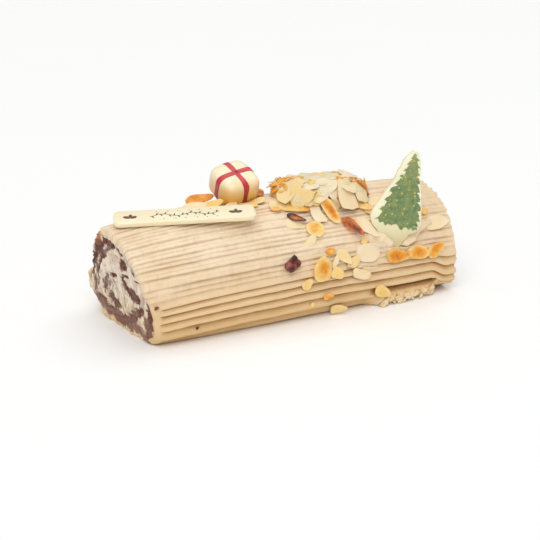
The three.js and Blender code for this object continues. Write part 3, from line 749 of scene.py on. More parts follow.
# Both rims are rounded. At the back of the left cut the coat stops short and leaves the roll bare.
bare_back = 8.5 * smooth_step(degrees, -6, 6) * (1 - smooth_step(degrees, 60, 74))
bare_back = bare_back + 9 * (1 - smooth_step(degrees, -24, -18))
ragged = 0.5 * soft_noise(row_places[inner_row] / 3, share * 0 + 5, 70)
left_rim = np.where(column < RIM_CELLS, (1 - np.cos(angle_column)) * 2.0, 2.0 * near_left)
right_end = smooth_step(from_left, 220, LOG_LENGTH)
right_rim = np.where(column > length_cells - RIM_CELLS, 1 - np.cos(angle_column), right_end)
right_ragged = layered_noise(girth, share * 0 + 9, [(0.9, 2.2, 1, 73), (0.5, 0.9, 1, 74)])
right_rim = 1.2 * right_rim + right_ragged * smooth_step(from_left, 218, 226)
points[:, 0] += left_rim - right_rim + (bare_back + ragged) * near_left - proud
points[:, 2] = np.maximum(points[:, 2], 0)
place_corners(coat, points)
keep_values(coat.data, "groove", relief)
keep_values(coat.data, "carried", over * smooth_step(smeared, -0.2, 0.5))

# The hidden inner face, a coarse sheet bridged to the border all round.
LINING_COLUMNS, LINING_ROWS = 12, 28
lining, column, row = grid_piece("coat_lining", LINING_COLUMNS, LINING_ROWS)
lining_foot = foot_angle(COAT_THICKNESS)
lining_angle = lining_foot + (math.pi - 2 * lining_foot) * row / LINING_ROWS
y, z = section_point(lining_angle, outline_reach(lining_angle, COAT_THICKNESS))
place_corners(lining, on_log(y, z, 0.03 + 0.94 * column / LINING_COLUMNS))
bpy.ops.object.select_all(action="DESELECT")
lining.select_set(True)
coat.select_set(True)
bpy.context.view_layer.objects.active = coat
bpy.ops.object.join()
bpy.ops.object.mode_set(mode="EDIT")
bpy.ops.mesh.select_mode(type="EDGE")
bpy.ops.mesh.select_all(action="DESELECT")
bpy.ops.mesh.select_non_manifold()
bpy.ops.mesh.bridge_edge_loops()
bpy.ops.object.mode_set(mode="OBJECT")
close_up(coat)

BUTTERCREAM_PALE = srgb(242, 222, 192)
BUTTERCREAM_BEIGE = srgb(238, 214, 180)
BUTTERCREAM_DARKER_RIGHT = srgb(222, 190, 142)
BUTTERCREAM_FOOT_SHADE_REFLECTION = srgb(221, 183, 124)
BUTTERCREAM_PROUD_HIGHLIGHT = srgb(240, 219, 184)
GROOVE_SHADE = srgb(188, 140, 80)
UNDERCUT_SHADE = srgb(116, 76, 42)
STREAK_BEIGE = srgb(214, 184, 142)
SPECK_BROWN = srgb(150, 105, 65)
CARRIED_CREAM = srgb(226, 210, 186)
CARRIED_CRUMB = srgb(172, 146, 130)

coat_material, tree, shader = new_material(
    "coat_buttercream", roughness=0.48, specular_ior_level=0.35,
    subsurface_weight=0.15, subsurface_scale=2.5 * MM,
)
shader.inputs["Subsurface Radius"].default_value = (1.0, 0.6, 0.3)
place = object_place(tree)
groove = kept_value(tree, "groove")
streaks = noise(tree, place, 420, 4, 0.6, stretch=(0.12, 1, 1))
mottle = noise(tree, place, 45, 3)
specks = noise(tree, place, 700, 2)
height = axis_of(tree, place, "Z")
tone = mix(tree, spread(tree, mottle, 0.35, 0.65), BUTTERCREAM_PALE, BUTTERCREAM_BEIGE)
# The crown is a shade darker toward the right cut.
to_the_right = spread(tree, axis_of(tree, place, "X"), 66 * MM, 105 * MM, 0, 0.55)
darker_right = combine(tree, "MULTIPLY", to_the_right, spread(tree, height, 34 * MM, 56 * MM))
tone = mix(tree, darker_right, tone, BUTTERCREAM_DARKER_RIGHT)
# Toward the foot the coat darkens to gold: painted shade with a painted golden reflection.
tone = tint(tree, tone, height, 52 * MM, 6 * MM, 0.85, BUTTERCREAM_FOOT_SHADE_REFLECTION)
# Painted light from the relief: torn crumbs get a painted highlight, grooves painted shade, and the undercut
# over the slump the darkest painted shadow.
tone = tint(tree, tone, groove, -0.7, -3.2, 0.75, BUTTERCREAM_PROUD_HIGHLIGHT)
tone = tint(tree, tone, groove, 0.55, 2.5, 0.9, GROOVE_SHADE)
tone = tint(tree, tone, groove, 3.6, 6.0, 0.9, UNDERCUT_SHADE)
tone = tint(tree, tone, streaks, 0.5, 0.8, 0.12, STREAK_BEIGE)
tone = tint(tree, tone, specks, 0.72, 0.76, 0.5, SPECK_BROWN)
# What the knife carried over the cut has picked up crumb.
dragged = noise(tree, place, 300, 4, 0.6, stretch=(1.0, 1.0, 0.3))
dirty = mix(tree, spread(tree, dragged, 0.45, 0.7), CARRIED_CREAM, CARRIED_CRUMB)
carried = combine(tree, "MULTIPLY", kept_value(tree, "carried"), spread(tree, dragged, 0.3, 0.6, 0.3, 1))
tone = mix(tree, carried, tone, dirty)
grain = bump(tree, noise(tree, place, 800, 2, 0.5), 0.16 * MM, 0.5)
set_surface(tree, shader, tone, bump(tree, streaks, 0.18 * MM, 0.5, grain))
coat.data.materials.append(coat_material)
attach(coat, "root")
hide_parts("buttercream_coat")

# Crisp curls of cream where the tree's foot and the flakes were pushed in: their places along
# the log and up the girth, their height, and the side their edge leans to.
CURLS = [
    ([(95, 56.2), (90, 55.0), (85, 53.6), (81.5, 50.8), (78.5, 47.8), (74, 46.0), (68.5, 45.4)], 3.2, 1),
    ([(84, 43.4), (78, 42.6), (72, 42.4), (66, 42.8), (62, 43.8)], 1.4, -1),
    ([(45, 55.4), (51, 54.0), (56, 51.4), (59.6, 47.8), (61.2, 44.6)], 3.2, 1),
]
# A curl's section, across and up: it rises slowly, and its edge rolls over at the steep side.
CURL_PROFILE = [
    (-2.6, -0.7), (-1.9, 0.02), (-1.1, 0.48), (-0.4, 0.85), (0.2, 1.0), (0.6, 0.97), (0.78, 0.82),
    (0.62, 0.66), (0.28, 0.42), (0.05, 0.0), (0.1, -1.3), (-2.0, -1.3),
]
CURL_CELLS, CURL_SMOOTHINGS = 48, 6
CURL_SHADE = 0.1


def coat_place(x, girth):
    """A spot on the coat's crests and its axes: along the log, up round the girth and outwards."""
    angle = np.interp([girth, girth + 0.5], GIRTH_LENGTHS, GIRTH_ANGLES)
    y, z = section_point(angle, outline_reach(angle, 0))
    left = on_log(y[0], z[0], 0)[0]
    share = (x - left) / (RIGHT_FACE_X - left)
    origin = Vector(on_log(y[0], z[0], share))
    along = (Vector(on_log(y[0], z[0], share + 0.002)) - origin).normalized()
    around = (Vector(on_log(y[1], z[1], share)) - origin).normalized()
    outwards = along.cross(around).normalized()
    around = outwards.cross(along)
    return Matrix((along, around, outwards)).transposed(), origin


def join_pieces(pieces, name):
    bpy.ops.object.select_all(action="DESELECT")
    for piece in pieces:
        piece.select_set(True)
    bpy.context.view_layer.objects.active = pieces[0]
    bpy.ops.object.join()
    joined = bpy.context.object
    joined.name = name
    bpy.ops.object.shade_smooth_by_angle(angle=math.radians(40))
    return joined


def curl_track(path):
    """Even places along a curl's path, with its corners smoothed, and the way it heads at each."""
    path = np.array(path)
    reached = np.concatenate([[0], np.cumsum(np.hypot(*np.diff(path, axis=0).T))])
    stations = np.linspace(0, reached[-1], CURL_CELLS + 1)
    track = np.column_stack([np.interp(stations, reached, places) for places in path.T])
    for _ in range(CURL_SMOOTHINGS):
        track[1:-1] = (track[:-2] + track[1:-1] + track[2:]) / 3
    heading = np.gradient(track, axis=0)
    return track, heading / np.linalg.norm(heading, axis=1, keepdims=True)


torn_pieces = []
curl_profile = np.array(CURL_PROFILE + CURL_PROFILE[:1])
for number, (path, high, side) in enumerate(CURLS):
    curl, column, row = grid_piece("cream_curl", CURL_CELLS, len(CURL_PROFILE))
    track, heading = curl_track(path)
    points = np.empty((len(column), 3))
    for station in range(CURL_CELLS + 1):
        basis, origin = coat_place(*track[station])
        share = station / CURL_CELLS
        size = high * min(1, 2.2 * math.sin(math.pi * (0.03 + 0.94 * share)) ** 0.8)
        size *= 1 + 0.22 * float(soft_noise(np.array(share * 9.0), np.array(number * 3.3), 75))
        across = Vector((-heading[station][1], heading[station][0], 0)) * side
        for corner in np.nonzero(column == station)[0]:
            c, h = curl_profile[row[corner]]
            points[corner] = origin + basis @ (across * c * size * 0.8 + Vector((0, 0, h * size)))
    place_corners(curl, points)
    keep_values(curl.data, "groove", CURL_SHADE)
    close_up(curl)
    torn_pieces.append(curl)

# Along the foot of the slump the coat has torn into crumbs: place along the log, height of the
# middle, half-length and how far each stands out.
TORN_CRUMBS = [
    (56, 2.0, 3.2, -0.4), (60.5, 3.4, 1.6, -0.3), (63.5, 1.5, 1.2, 0.3), (68, 2.6, 3.4, -0.8),
    (71.5, 1.4, 1.3, 0.5), (75.5, 3.4, 2.9, -0.7), (78.6, 1.6, 1.1, 0.2), (82, 3.9, 3.1, -0.9),
    (85.4, 2.2, 1.4, 0.3), (89, 5.0, 2.6, -0.8), (92.2, 3.0, 1.3, 0.0), (94.8, 5.6, 2.3, -0.9),
]
CRUMB_LINE_Y = -47.9
# The torn crumbs' relief value, below zero, gives them a painted highlight in the coat's colour.
TORN_HIGHLIGHT = -2.6
for number, (x, height, half_length, out) in enumerate(TORN_CRUMBS):
    crumb = add_shape("ico_sphere", "torn_crumb", subdivisions=4, radius=1)
    unit = corners_of(crumb)
    torn = 1 + 0.42 * soft_noise(unit[:, 0] * 1.7 + 3 * number, unit[:, 1] * 1.7 + unit[:, 2] * 2.3, 76)
    torn += 0.12 * soft_noise(unit[:, 0] * 4 + 5 * number, unit[:, 1] * 4 - unit[:, 2] * 5, 77)
    size = half_length * np.array((1.0, 0.6, 0.72 + 0.2 * math.sin(2.4 * number)))
    turned = unit * torn[:, None] * size
    slant = 0.6 * math.sin(1.7 * number + 1)
    points = turned + np.outer(turned[:, 0], (0, 0, slant)) + (x, CRUMB_LINE_Y - out, height)
    points[:, 2] = np.maximum(points[:, 2], 0.05)
    place_corners(crumb, points)
    keep_values(crumb.data, "groove", TORN_HIGHLIGHT)
    close_up(crumb)
    torn_pieces.append(crumb)
curls = join_pieces(torn_pieces, "buttercream_curls")
curls.data.materials.append(coat_material)
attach(curls, "root")
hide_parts("buttercream_coat")

# ---------------------------------------------------------------------------------------------
# The almond flakes on the coat. Thin slices of almond, toasted until some have gone golden or
# brown at the middle or the tip, are scattered over the front by hand and sink into the cream.

FLAKE_THICKNESS = 0.9
PATTERN_SIDES, PATTERN_THICKNESS = 30, 0.14
PATTERN_RINGS = (0.06, 0.16, 0.2, 0.2, 0.2)
PATTERN_SOFTNESS = 0.035
ALMOND_TAPER = 0.22
LOWEST_FLAKE = 0.4


def thicken(height):
    """Draws a flat face, open for editing, up into a closed slab and ends the editing."""
    bpy.ops.mesh.select_all(action="SELECT")
    bpy.ops.mesh.extrude_region_move(TRANSFORM_OT_translate={"value": (0, 0, height)})
    bpy.ops.mesh.select_all(action="SELECT")
    bpy.ops.mesh.normals_make_consistent(inside=False)
    bpy.ops.object.mode_set(mode="OBJECT")


def soften_edges(piece, width, segments):
    """Rounds the sharp edges of the active piece."""
    edge_bevel = piece.modifiers.new("edge", "BEVEL")
    edge_bevel.width, edge_bevel.segments, edge_bevel.limit_method = width, segments, "ANGLE"
    bpy.ops.object.modifier_apply(modifier="edge")


# The pattern for every flake: a round slab of unit radius in rings, its rim softened.
flake_pattern = add_shape("circle", "flake_pattern", vertices=PATTERN_SIDES, radius=1, fill_type="NGON")
bpy.ops.object.mode_set(mode="EDIT")
bpy.ops.mesh.select_all(action="SELECT")
for width in PATTERN_RINGS:
    bpy.ops.mesh.inset(thickness=width, depth=0)
thicken(PATTERN_THICKNESS)
soften_edges(flake_pattern, PATTERN_SOFTNESS, 2)


def flake_copy(basis, origin, flake, seed):
    """A copy of the pattern with its own mesh, shaped, bent and laid on a spot of the cake."""
    length, width, turn, tip_long, tip_wide, bend, middle, rim, tip, square, lift = flake
    rng = np.random.default_rng(seed)
    mesh = flake_pattern.data.copy()
    u, v, w = corners_of(flake_pattern).T
    reach, bearing = np.hypot(u, v), np.arctan2(v, u)
    phases = rng.uniform(0, 2 * math.pi, 4)
    uneven = 1 + 0.05 * np.sin(2 * bearing + phases[0]) + 0.06 * np.sin(3 * bearing + phases[1])
    uneven += 0.03 * np.sin(5 * bearing + phases[2]) + 0.012 * np.sin(9 * bearing + phases[3])
    boxed = np.maximum(np.abs(np.cos(bearing)), np.abs(np.sin(bearing))) ** -square
    across = 1 - ALMOND_TAPER * u
    across = np.where(v * rng.choice([-1, 1]) > 0, across, across * rng.uniform(0.6, 1.0))
    p, q = u * uneven * boxed * length / 2, v * uneven * boxed * across * width / 2
    wave = 0.35 * np.sin(u * 2.6 + phases[0]) * np.cos(v * 2.2 + phases[1])
    h = (w / PATTERN_THICKNESS - 0.5) * FLAKE_THICKNESS * (1 - 0.35 * reach ** 4) + bend * u * u + wave
    local = np.stack([p, q, h], -1)
    pose = Matrix.Rotation(math.radians(turn), 3, "Z") @ Matrix.Rotation(-math.radians(tip_long), 3, "Y")
    pose = pose @ Matrix.Rotation(math.radians(tip_wide), 3, "X")
    rise = 0.3 * length * abs(math.sin(math.radians(tip_long)))
    rise += 0.3 * width * abs(math.sin(math.radians(tip_wide)))
    turned = local @ np.array(pose).T + (0, 0, lift + rise)
    placed = turned @ np.array(basis).T + np.array(origin)
    placed[:, 2] = np.maximum(placed[:, 2], LOWEST_FLAKE)
    toast = middle + rim * reach ** 2 + tip * (u + 1) / 2 + 0.06 * rng.normal()
    toast += 0.05 * np.sin(3 * u + phases[2]) * np.sin(3 * v + phases[3])
    keep_values(mesh, "toast", np.clip(toast, 0, 1))
    piece = bpy.data.objects.new("flake", mesh)
    place_corners(piece, placed)
    bpy.context.scene.collection.objects.link(piece)
    return piece


# The places of the flakes, along the log and up the girth, each with its flake: length, width, turn
# of its long axis, how far each axis tips up, how far its ends bend up, toast at the middle, more
# toward the rim, more toward the far tip, squareness and lift.
COAT_FLAKES = [
    (-1, 84.5, (27, 8, -33, 6, 10, -0.6, 0.12, 0.0, 0.42, 0, 0.3)),
    (-10, 84, (8, 4, -20, 6, 0, 0, 0.56, 0.0, 0, 0, 1.0)),
    (-7, 90, (11, 7, 20, 4, 0, 0, 0.34, 0.0, 0, 0, 0.2)),
    (-1, 73.8, (12.5, 4.8, -40, 6, 30, 0, 0.88, 0.3, 0, 0, 1.0)),
    (14.6, 75, (14, 8.6, 90, 8, -6, 0.4, 0.02, 0.0, 0.04, 0.9, 0.6)),
    (23.6, 75.8, (24, 8, 110, 22, -34, 0.9, 0.78, -0.42, -0.05, 0, 0.6)),
    (20.2, 80.8, (13, 3.4, 106, 26, -40, 0.5, 0.98, 0.0, 0, 0, 2.6)),
    (9.6, 64.8, (12.5, 11.5, 30, 5, 0, 0, 0.56, -0.26, 0, 0, 0.2)),
    (3.4, 56.4, (11, 7.5, 45, 5, 0, 0, 0.26, -0.08, 0, 0, 0.0)),
    (35, 61.2, (18.5, 6.2, -60, 10, 34, 1.2, 0.85, -0.1, 0, 0, 1.2)),
    (45, 59.2, (18, 9, -58, 8, 16, 0.8, 0.04, 0.0, 0.02, 0, 0.6)),
    (42, 51.5, (6, 4, 10, 8, 0, 0, 0.38, 0.0, 0, 0, 0.3)),
    (7.8, 38.6, (15.4, 17.2, 84, 7, 5, 0.5, 0.66, -0.22, -0.02, 0, 0.4)),
    (15, 48.5, (6.5, 4.5, 0, 10, 0, 0, 0.46, 0.0, 0, 0, 0.4)),
    (24, 44, (13, 7.5, -52, 8, 6, 0.4, 0.34, -0.12, 0, 0, 0.6)),
    (17, 42, (10, 4, 60, 6, 0, 0, 0.06, 0.1, 0, 0, 0.5)),
    (18, 35, (9, 9, -30, 8, 6, 0, 0.38, -0.05, 0, 0.4, 0.5)),
    (-5, 31, (8.5, 7, 30, 6, 0, 0, 0.4, -0.05, 0, 0, 0.4)),
    (43, 43, (17, 14, 0, 2, -2, -0.5, 0.06, 0.0, 0, 0, -0.2)),
    (36, 31, (13, 7, -15, 8, 4, 0, 0.12, 0.05, 0, 0.5, 0.3)),
    (11, 20.5, (7, 5.5, 0, 6, 0, 0, 0.6, 0.0, 0, 0, 0.5)),
    (0, 16, (4, 3, 0, 0, 0, 0, 0.45, 0.0, 0, 0, 0.1)),
    (65, 38.5, (18, 9, -5, 6, 10, 0.4, 0.62, -0.2, 0, 0, 0.8)),
    (81, 38.5, (18, 9, -8, 8, 8, 0.5, 0.6, -0.25, 0, 0, 0.8)),
    (96, 38.5, (14, 9.5, 32, 10, 4, 0.4, 0.58, -0.2, 0.08, 0, 0.8)),
    (53, 17, (12, 10, -35, 10, 8, 0.3, 0.36, -0.05, 0, 0, 0.9)),
    (61, 10, (9, 5, -30, 14, 0, 0, 0.3, 0.05, 0, 0, 1.8)),
    (20, 10, (12, 8, 10, 14, -8, 0, 0.36, 0.0, 0, 0, 0.9)),
    (31, 40, (11, 7, 25, 5, 0, 0, 0.3, 0.0, 0, 0, 0.2)),
    (-105, 34, (3.2, 2.6, 10, 0, 0, 0, 0.86, 0.0, 0, 0, 0.4)),
    (-80, 16, (2.4, 1.6, 30, 0, 0, 0, 0.95, 0.0, 0, 0, 0.3)),
    (96, 66, (7, 5, 10, 6, 0, 0, 0.5, 0.0, 0, 0, 0.3)),
    (103, 56.4, (20, 10.5, 3, 2, -3, 0, 0.0, 0.04, 0, 0, -0.5)),
    (50, 75, (13, 6.5, -35, 8, 16, 0.4, 0.36, 0.0, 0.08, 0, 0.8)),
    (56, 71, (12, 7, -40, 6, 10, 0, 0.16, 0.1, 0, 0, 0.4)),
    (62, 79, (12, 7, 20, 8, 10, 0, 0.18, 0.1, 0, 0, 0.4)),
    (-52, 107, (20, 10, 6, 4, 34, 0.6, 0.6, 0.0, 0.06, 0, 1.4)),
    (-60, 98, (17, 9, -4, 3, 26, 0.4, 0.3, 0.0, 0, 0, 1.4)),
    (-47, 99, (15, 8, 12, 4, 22, 0.3, 0.4, 0.0, 0, 0, 1.2)),
    (-33, 102, (16, 8, -20, 8, 6, 0, 0.58, 0.0, 0.14, 0, 0.6)),
    (-9, 108, (12, 7, 60, 14, 10, 0.5, 0.76, 0.0, 0, 0, 1.0)),
    (-16, 97, (12, 8, 10, 6, 0, 0, 0.3, 0.0, 0, 0, 0.2)),
    (-24, 92.5, (11, 5, -30, 6, 0, 0, 0.3, 0.0, 0.1, 0, 0.5)),
    (-36, 96, (12, 7, 30, 6, 0, 0, 0.14, 0.0, 0, 0, 0.3)),
    (-3.0, 70.4, (13, 8, -30, 1, 0, 0, 0.2, 0.0, 0, 0, -0.35)),
]
laid_flakes = []
for seed, (x, girth, flake) in enumerate(COAT_FLAKES):
    laid_flakes.append(flake_copy(*coat_place(x, girth), flake, seed))
coat_flakes = join_pieces(laid_flakes, "coat_almond_flakes")

# The colours of almond, from raw to nearly burnt.
TOAST_STOPS = [
    (0.0, (240, 220, 188)), (0.2, (240, 215, 168)), (0.42, (242, 205, 126)), (0.62, (231, 152, 40)),
    (0.8, (190, 100, 48)), (0.9, (112, 56, 36)), (1.0, (58, 30, 24)),
]

almond_material, tree, shader = new_material(
    "toasted_almond", roughness=0.42, specular_ior_level=0.35,
    subsurface_weight=0.2, subsurface_scale=1.5 * MM,
)
place = object_place(tree)
grain = noise(tree, place, 700, 4)
blotches = noise(tree, place, 170, 3)
toast = jitter(tree, kept_value(tree, "toast"), blotches, 0.08)
toast = jitter(tree, toast, grain, 0.05)
toast_ramp = add_node(tree, "ShaderNodeValToRGB", {"Fac": toast})
ramp = toast_ramp.color_ramp
for at, colour in TOAST_STOPS[1:-1]:
    ramp.elements.new(at).color = srgb(*colour)
ramp.elements[0].color = srgb(*TOAST_STOPS[0][1])
ramp.elements[-1].color = srgb(*TOAST_STOPS[-1][1])
set_surface(tree, shader, toast_ramp.outputs["Color"], bump(tree, grain, 0.2 * MM, 0.5))
coat_flakes.data.materials.append(almond_material)
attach(coat_flakes, "root")
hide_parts("buttercream_coat")

# ---------------------------------------------------------------------------------------------
# The cut branch. A short end of the roll is set on top as a sawn-off branch, spread with
# buttercream and heaped with toasted almond flakes that overlap like shingles.

BRANCH_CENTRE = np.array((31.5, -6, 68.0))
BRANCH_HALF_SIZE = np.array((32, 19, 13.5))
# Powers under 1 make the form blunter: round the branch and up it, and at its sawn left end.
BLUNT_ROUND, BLUNT_LEVEL = 0.8, 0.7
SAWN_ROUND, SAWN_RISE = 0.6, 0.3
BUTTERCREAM_INSET = 0.9
BRANCH_SINK = 0.6
BRANCH_SHADE = 0.2


def on_branch(turn, rise, grow=0.0):
    """A point of the branch's blunt oval form, turn round it and rise up from its widest level."""
    def blunt(value, power):
        return np.sign(value) * np.abs(value) ** power

    sawn = smooth_step(-np.cos(turn), -0.2, 0.8)
    round_power = BLUNT_ROUND + (SAWN_ROUND - BLUNT_ROUND) * sawn
    rise_power = BLUNT_ROUND + (SAWN_RISE - BLUNT_ROUND) * sawn
    level = blunt(np.cos(rise), BLUNT_LEVEL)
    unit = np.stack([
        level * blunt(np.cos(turn), round_power),
        level * blunt(np.sin(turn), round_power),
        blunt(np.sin(rise), rise_power),
    ], -1)
    return BRANCH_CENTRE + unit * (BRANCH_HALF_SIZE + grow)


branch = add_shape("uv_sphere", "branch_buttercream", segments=96, ring_count=56, radius=1)
corners = corners_of(branch)
turn, rise = np.arctan2(corners[:, 1], corners[:, 0]), np.arcsin(np.clip(corners[:, 2], -1, 1))
form = on_branch(turn, rise, -BUTTERCREAM_INSET)
lumps = 0.9 * soft_noise(form[:, 0] / 6, form[:, 1] / 5 + form[:, 2] / 5, 81)
lumps += 0.4 * soft_noise(form[:, 0] / 2.2, form[:, 1] / 2.2 + form[:, 2] / 2, 82)
outwards = (form - BRANCH_CENTRE) / BRANCH_HALF_SIZE ** 2
outwards /= np.linalg.norm(outwards, axis=1, keepdims=True)
form = form + outwards * lumps[:, None]
# Its underside follows the crown of the coat.
crown_angle = np.arctan2(form[:, 2] - CORE_HEIGHT, form[:, 1])
crown_reach = outline_reach(crown_angle, BRANCH_SINK)
too_low = np.hypot(form[:, 1], form[:, 2] - CORE_HEIGHT) < crown_reach
form[too_low, 1] = (crown_reach * np.cos(crown_angle))[too_low]
form[too_low, 2] = (CORE_HEIGHT + crown_reach * np.sin(crown_angle))[too_low]
place_corners(branch, form)
keep_values(branch.data, "groove", BRANCH_SHADE)
close_up(branch)
branch.data.materials.append(coat_material)
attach(branch, "root")
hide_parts("almond_branch")

# The flakes laid on one by one: turn and rise on the branch in degrees, then the flake as above.
LAID_FLAKES = [
    (-175, 7, (17, 10, 60, 4, 6, 0.6, 0.58, 0.0, 0, 0, 0.8)),
    (172, 35, (14, 10, 80, 6, 0, 0.3, 0.52, 0.05, 0, 0, 1.2)),
    (-158, 18, (19, 13, 62, 3, 4, 0.4, 0.18, 0.0, 0.05, 0.5, 1.7)),
    (-132, 5, (17, 12, 20, 6, 4, 0.6, 0.14, 0.1, 0.06, 0, 1.3)),
    (-130, 46, (17, 13, -20, 3, 4, 0.3, 0.06, 0.0, 0, 0, 0.8)),
    (-110, 7, (10, 7, 60, 6, 0, 0, 0.4, 0.0, 0, 0, 1.4)),
    (-98, 36, (18, 14, 10, 3, 4, 0.5, 0.03, 0.0, 0, 0, 0.8)),
    (-80, 14, (20, 15, 88, -11, 4, 0.3, 0.13, 0.0, 0.06, 0.8, 0.9)),
    (-94, -6, (15, 11, 20, 4, 4, 0.3, 0.16, 0.0, 0.06, 0, 0.6)),
    (-66, -4, (14, 11, -20, 4, 4, 0.3, 0.1, 0.0, 0.06, 0, 0.6)),
    (-58, 16, (17, 12, 78, -11, 2, 0.3, 0.1, 0.02, 0, 0.7, 1.0)),
    (-62, 57, (15, 6.5, 150, 2, 6, -1.4, 0.55, 0.0, 0, 0, 2.2)),
    (-45, 38, (16, 6.5, 122, 2, 10, -1.4, 0.58, 0.0, 0, 0, 2.2)),
    (-36, 18, (13, 6, 102, 2, 10, -1.0, 0.6, 0.0, 0, 0, 1.8)),
    (-70, 44, (17, 13, 60, 3, 4, 0.4, 0.05, 0.0, 0, 0, 1.2)),
    (-14, 65, (17, 13, 10, 3, 4, 0.3, 0.02, 0.0, 0, 0, 1.5)),
    (-160, 60, (14, 9, 30, 4, 0, 0.3, 0.42, 0.1, 0, 0, 1.0)),
    (170, 66, (12, 8, 10, 4, 4, 0.3, 0.5, 0.1, 0, 0, 1.2)),
    (-20, 8, (16, 11, 80, 4, 0, 0.6, 0.3, 0.0, 0, 0, 1.0)),
    (-115, 66, (16, 12, 50, 3, 3, 0.3, 0.04, 0.0, 0, 0, 0.8)),
    (10, 60, (15, 11, 60, 3, 2, 0.2, 0.34, 0.0, 0.1, 0, 1.0)),
    (176, 20, (14, 6.5, 98, 0, 4, -0.3, 0.62, 0.0, 0, 0, 1.3)),
    (-168, 26, (13, 6, 74, 0, 4, -0.3, 0.66, 0.0, 0, 0, 1.6)),
    (166, 44, (14, 8, 120, 1, 3, -0.4, 0.56, 0.0, 0, 0, 1.4)),
    (-74, 60, (8.5, 5, 160, 2, 0, 0, 0.5, 0.0, 0, 0, 1.7)),
    (-120, 55, (10, 6, -16, 2, 0, 0, 0.46, 0.0, 0, 0, 1.6)),
    (-86, 68, (12, 7, 6, 2, 0, 0, 0.1, 0.0, 0.1, 0, 1.7)),
    (-98, 57, (10, 5.5, 20, 2, 0, 0, 0.42, 0.0, 0, 0, 1.6)),
]
SHINGLE_LEAN = 6
FLAKE_SINK = 0.8
NEARBY = 0.05
GOLDEN_ANGLE = math.pi * (3 - math.sqrt(5))
STREWN_FLAKES, STREWN_LIFT = 58, 0.3
CROWN_FLAKES, CROWN_LIFT = 16, 0.8
TOASTED_SHARE = 0.22
branch_random = np.random.default_rng(83)


def branch_flake(turn, rise, flake, seed):
    """A flake laid on the branch; like a shingle, it stands out a little at its lower end."""
    origin = on_branch(turn, rise, -FLAKE_SINK)
    round_it = on_branch(turn + NEARBY, rise) - on_branch(turn - NEARBY, rise)
    up_it = on_branch(turn, rise + NEARBY) - on_branch(turn, rise - NEARBY)
    outwards = Vector(np.cross(round_it, up_it)).normalized()
    along = Vector((0, 0, 1)).cross(outwards).normalized()
    around = outwards.cross(along)
    basis = Matrix((along, around, outwards)).transposed()
    lean = SHINGLE_LEAN * math.cos(rise) ** 0.7
    return flake_copy(basis @ Matrix.Rotation(math.radians(-lean), 3, "X"), origin, flake, seed)


heap = []
for number, (turn, rise, flake) in enumerate(LAID_FLAKES):
    heap.append(branch_flake(math.radians(turn), math.radians(rise), flake, 200 + number))


def strew_flake(number, rise, lift, seed):
    """Drops one more flake on the heap; most of these are pale and some toasted."""
    turn = number * GOLDEN_ANGLE + 0.5 * branch_random.random()
    toasted = branch_random.random() > 1 - TOASTED_SHARE
    middle = branch_random.uniform(0.3, 0.5) if toasted else branch_random.uniform(0.0, 0.14)
    flake = (
        branch_random.uniform(12, 17), branch_random.uniform(9, 13), branch_random.uniform(0, 360),
        branch_random.uniform(-4, 5), branch_random.uniform(-5, 5), branch_random.uniform(-0.9, 0.1),
        middle, branch_random.uniform(-0.1, 0.08), branch_random.uniform(0, 0.1), 0, lift,
    )
    heap.append(branch_flake(turn, rise, flake, seed))


for number in range(STREWN_FLAKES):
    strew_flake(number, math.asin(0.08 + 0.9 * (number + 0.5) / STREWN_FLAKES), STREWN_LIFT, 300 + number)
for number in range(CROWN_FLAKES):
    strew_flake(number, math.radians(65 + 23.5 * (number + 0.5) / CROWN_FLAKES), CROWN_LIFT, 400 + number)
branch_flakes = join_pieces(heap, "branch_almond_flakes")
branch_flakes.data.materials.append(almond_material)
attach(branch_flakes, "root")
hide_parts("almond_branch")
bpy.data.objects.remove(flake_pattern)

# ---------------------------------------------------------------------------------------------
# The gift bonbon. A moulded white chocolate parcel with pillowed sides, its ribbon printed on in
# red coloured cocoa butter, set leaning back in the cream.

GIFT_CENTRE = Vector((-27, 5, 81.2))
GIFT_HALF_SIZE = (13.2, 13.2, 9.5)
GIFT_POWER = 4.5
GIFT_CUTS = 27
gift_pose = (
    Matrix.Rotation(math.radians(-6), 3, "Y")
    @ Matrix.Rotation(math.radians(28), 3, "X")
    @ Matrix.Rotation(math.radians(6), 3, "Z")
)
CHOCOLATE_PALE = srgb(247, 238, 208)
CHOCOLATE_IVORY = srgb(240, 224, 182)
CHOCOLATE_LOW_SHADE_REFLECTION = srgb(236, 180, 72)


def gift_point(direction, grow=0.0):
    """Where a direction from the parcel's middle meets its pillowed skin."""
    power = np.abs(direction) ** GIFT_POWER
    size = power.sum(-1, keepdims=True) ** (1 / GIFT_POWER)
    return direction / size * (np.array(GIFT_HALF_SIZE) + grow)


def seat_gift(piece, points):
    place_corners(piece, points @ np.array(gift_pose).T + np.array(GIFT_CENTRE))


gift = add_shape("cube", "gift_parcel", size=2)
bpy.ops.object.mode_set(mode="EDIT")
bpy.ops.mesh.select_all(action="SELECT")
bpy.ops.mesh.subdivide(number_cuts=GIFT_CUTS)
bpy.ops.object.mode_set(mode="OBJECT")
corners = corners_of(gift)
skin = gift_point(corners)
skin *= 1 + 0.006 * soft_noise(corners[:, :1] * 2 + corners[:, 2:], corners[:, 1:2] * 2 + 5, 91)
seat_gift(gift, skin)
close_up(gift)
gift_material, tree, shader = new_material(
    "moulded_white_chocolate", roughness=0.3, subsurface_weight=0.25, subsurface_scale=3 * MM
)
place = object_place(tree)
cloudy = noise(tree, place, 160, 3)
tone = mix(tree, spread(tree, cloudy, 0.35, 0.7), CHOCOLATE_PALE, CHOCOLATE_IVORY)
# Its lower part turns golden: painted shade with a painted golden reflection.
tone = tint(tree, tone, axis_of(tree, place, "Z"), 87 * MM, 74 * MM, 0.95, CHOCOLATE_LOW_SHADE_REFLECTION)
set_surface(tree, shader, tone, bump(tree, noise(tree, place, 300, 2), 0.12 * MM, 0.4))
gift.data.materials.append(gift_material)
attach(gift, "root")
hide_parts("gift_bonbon")

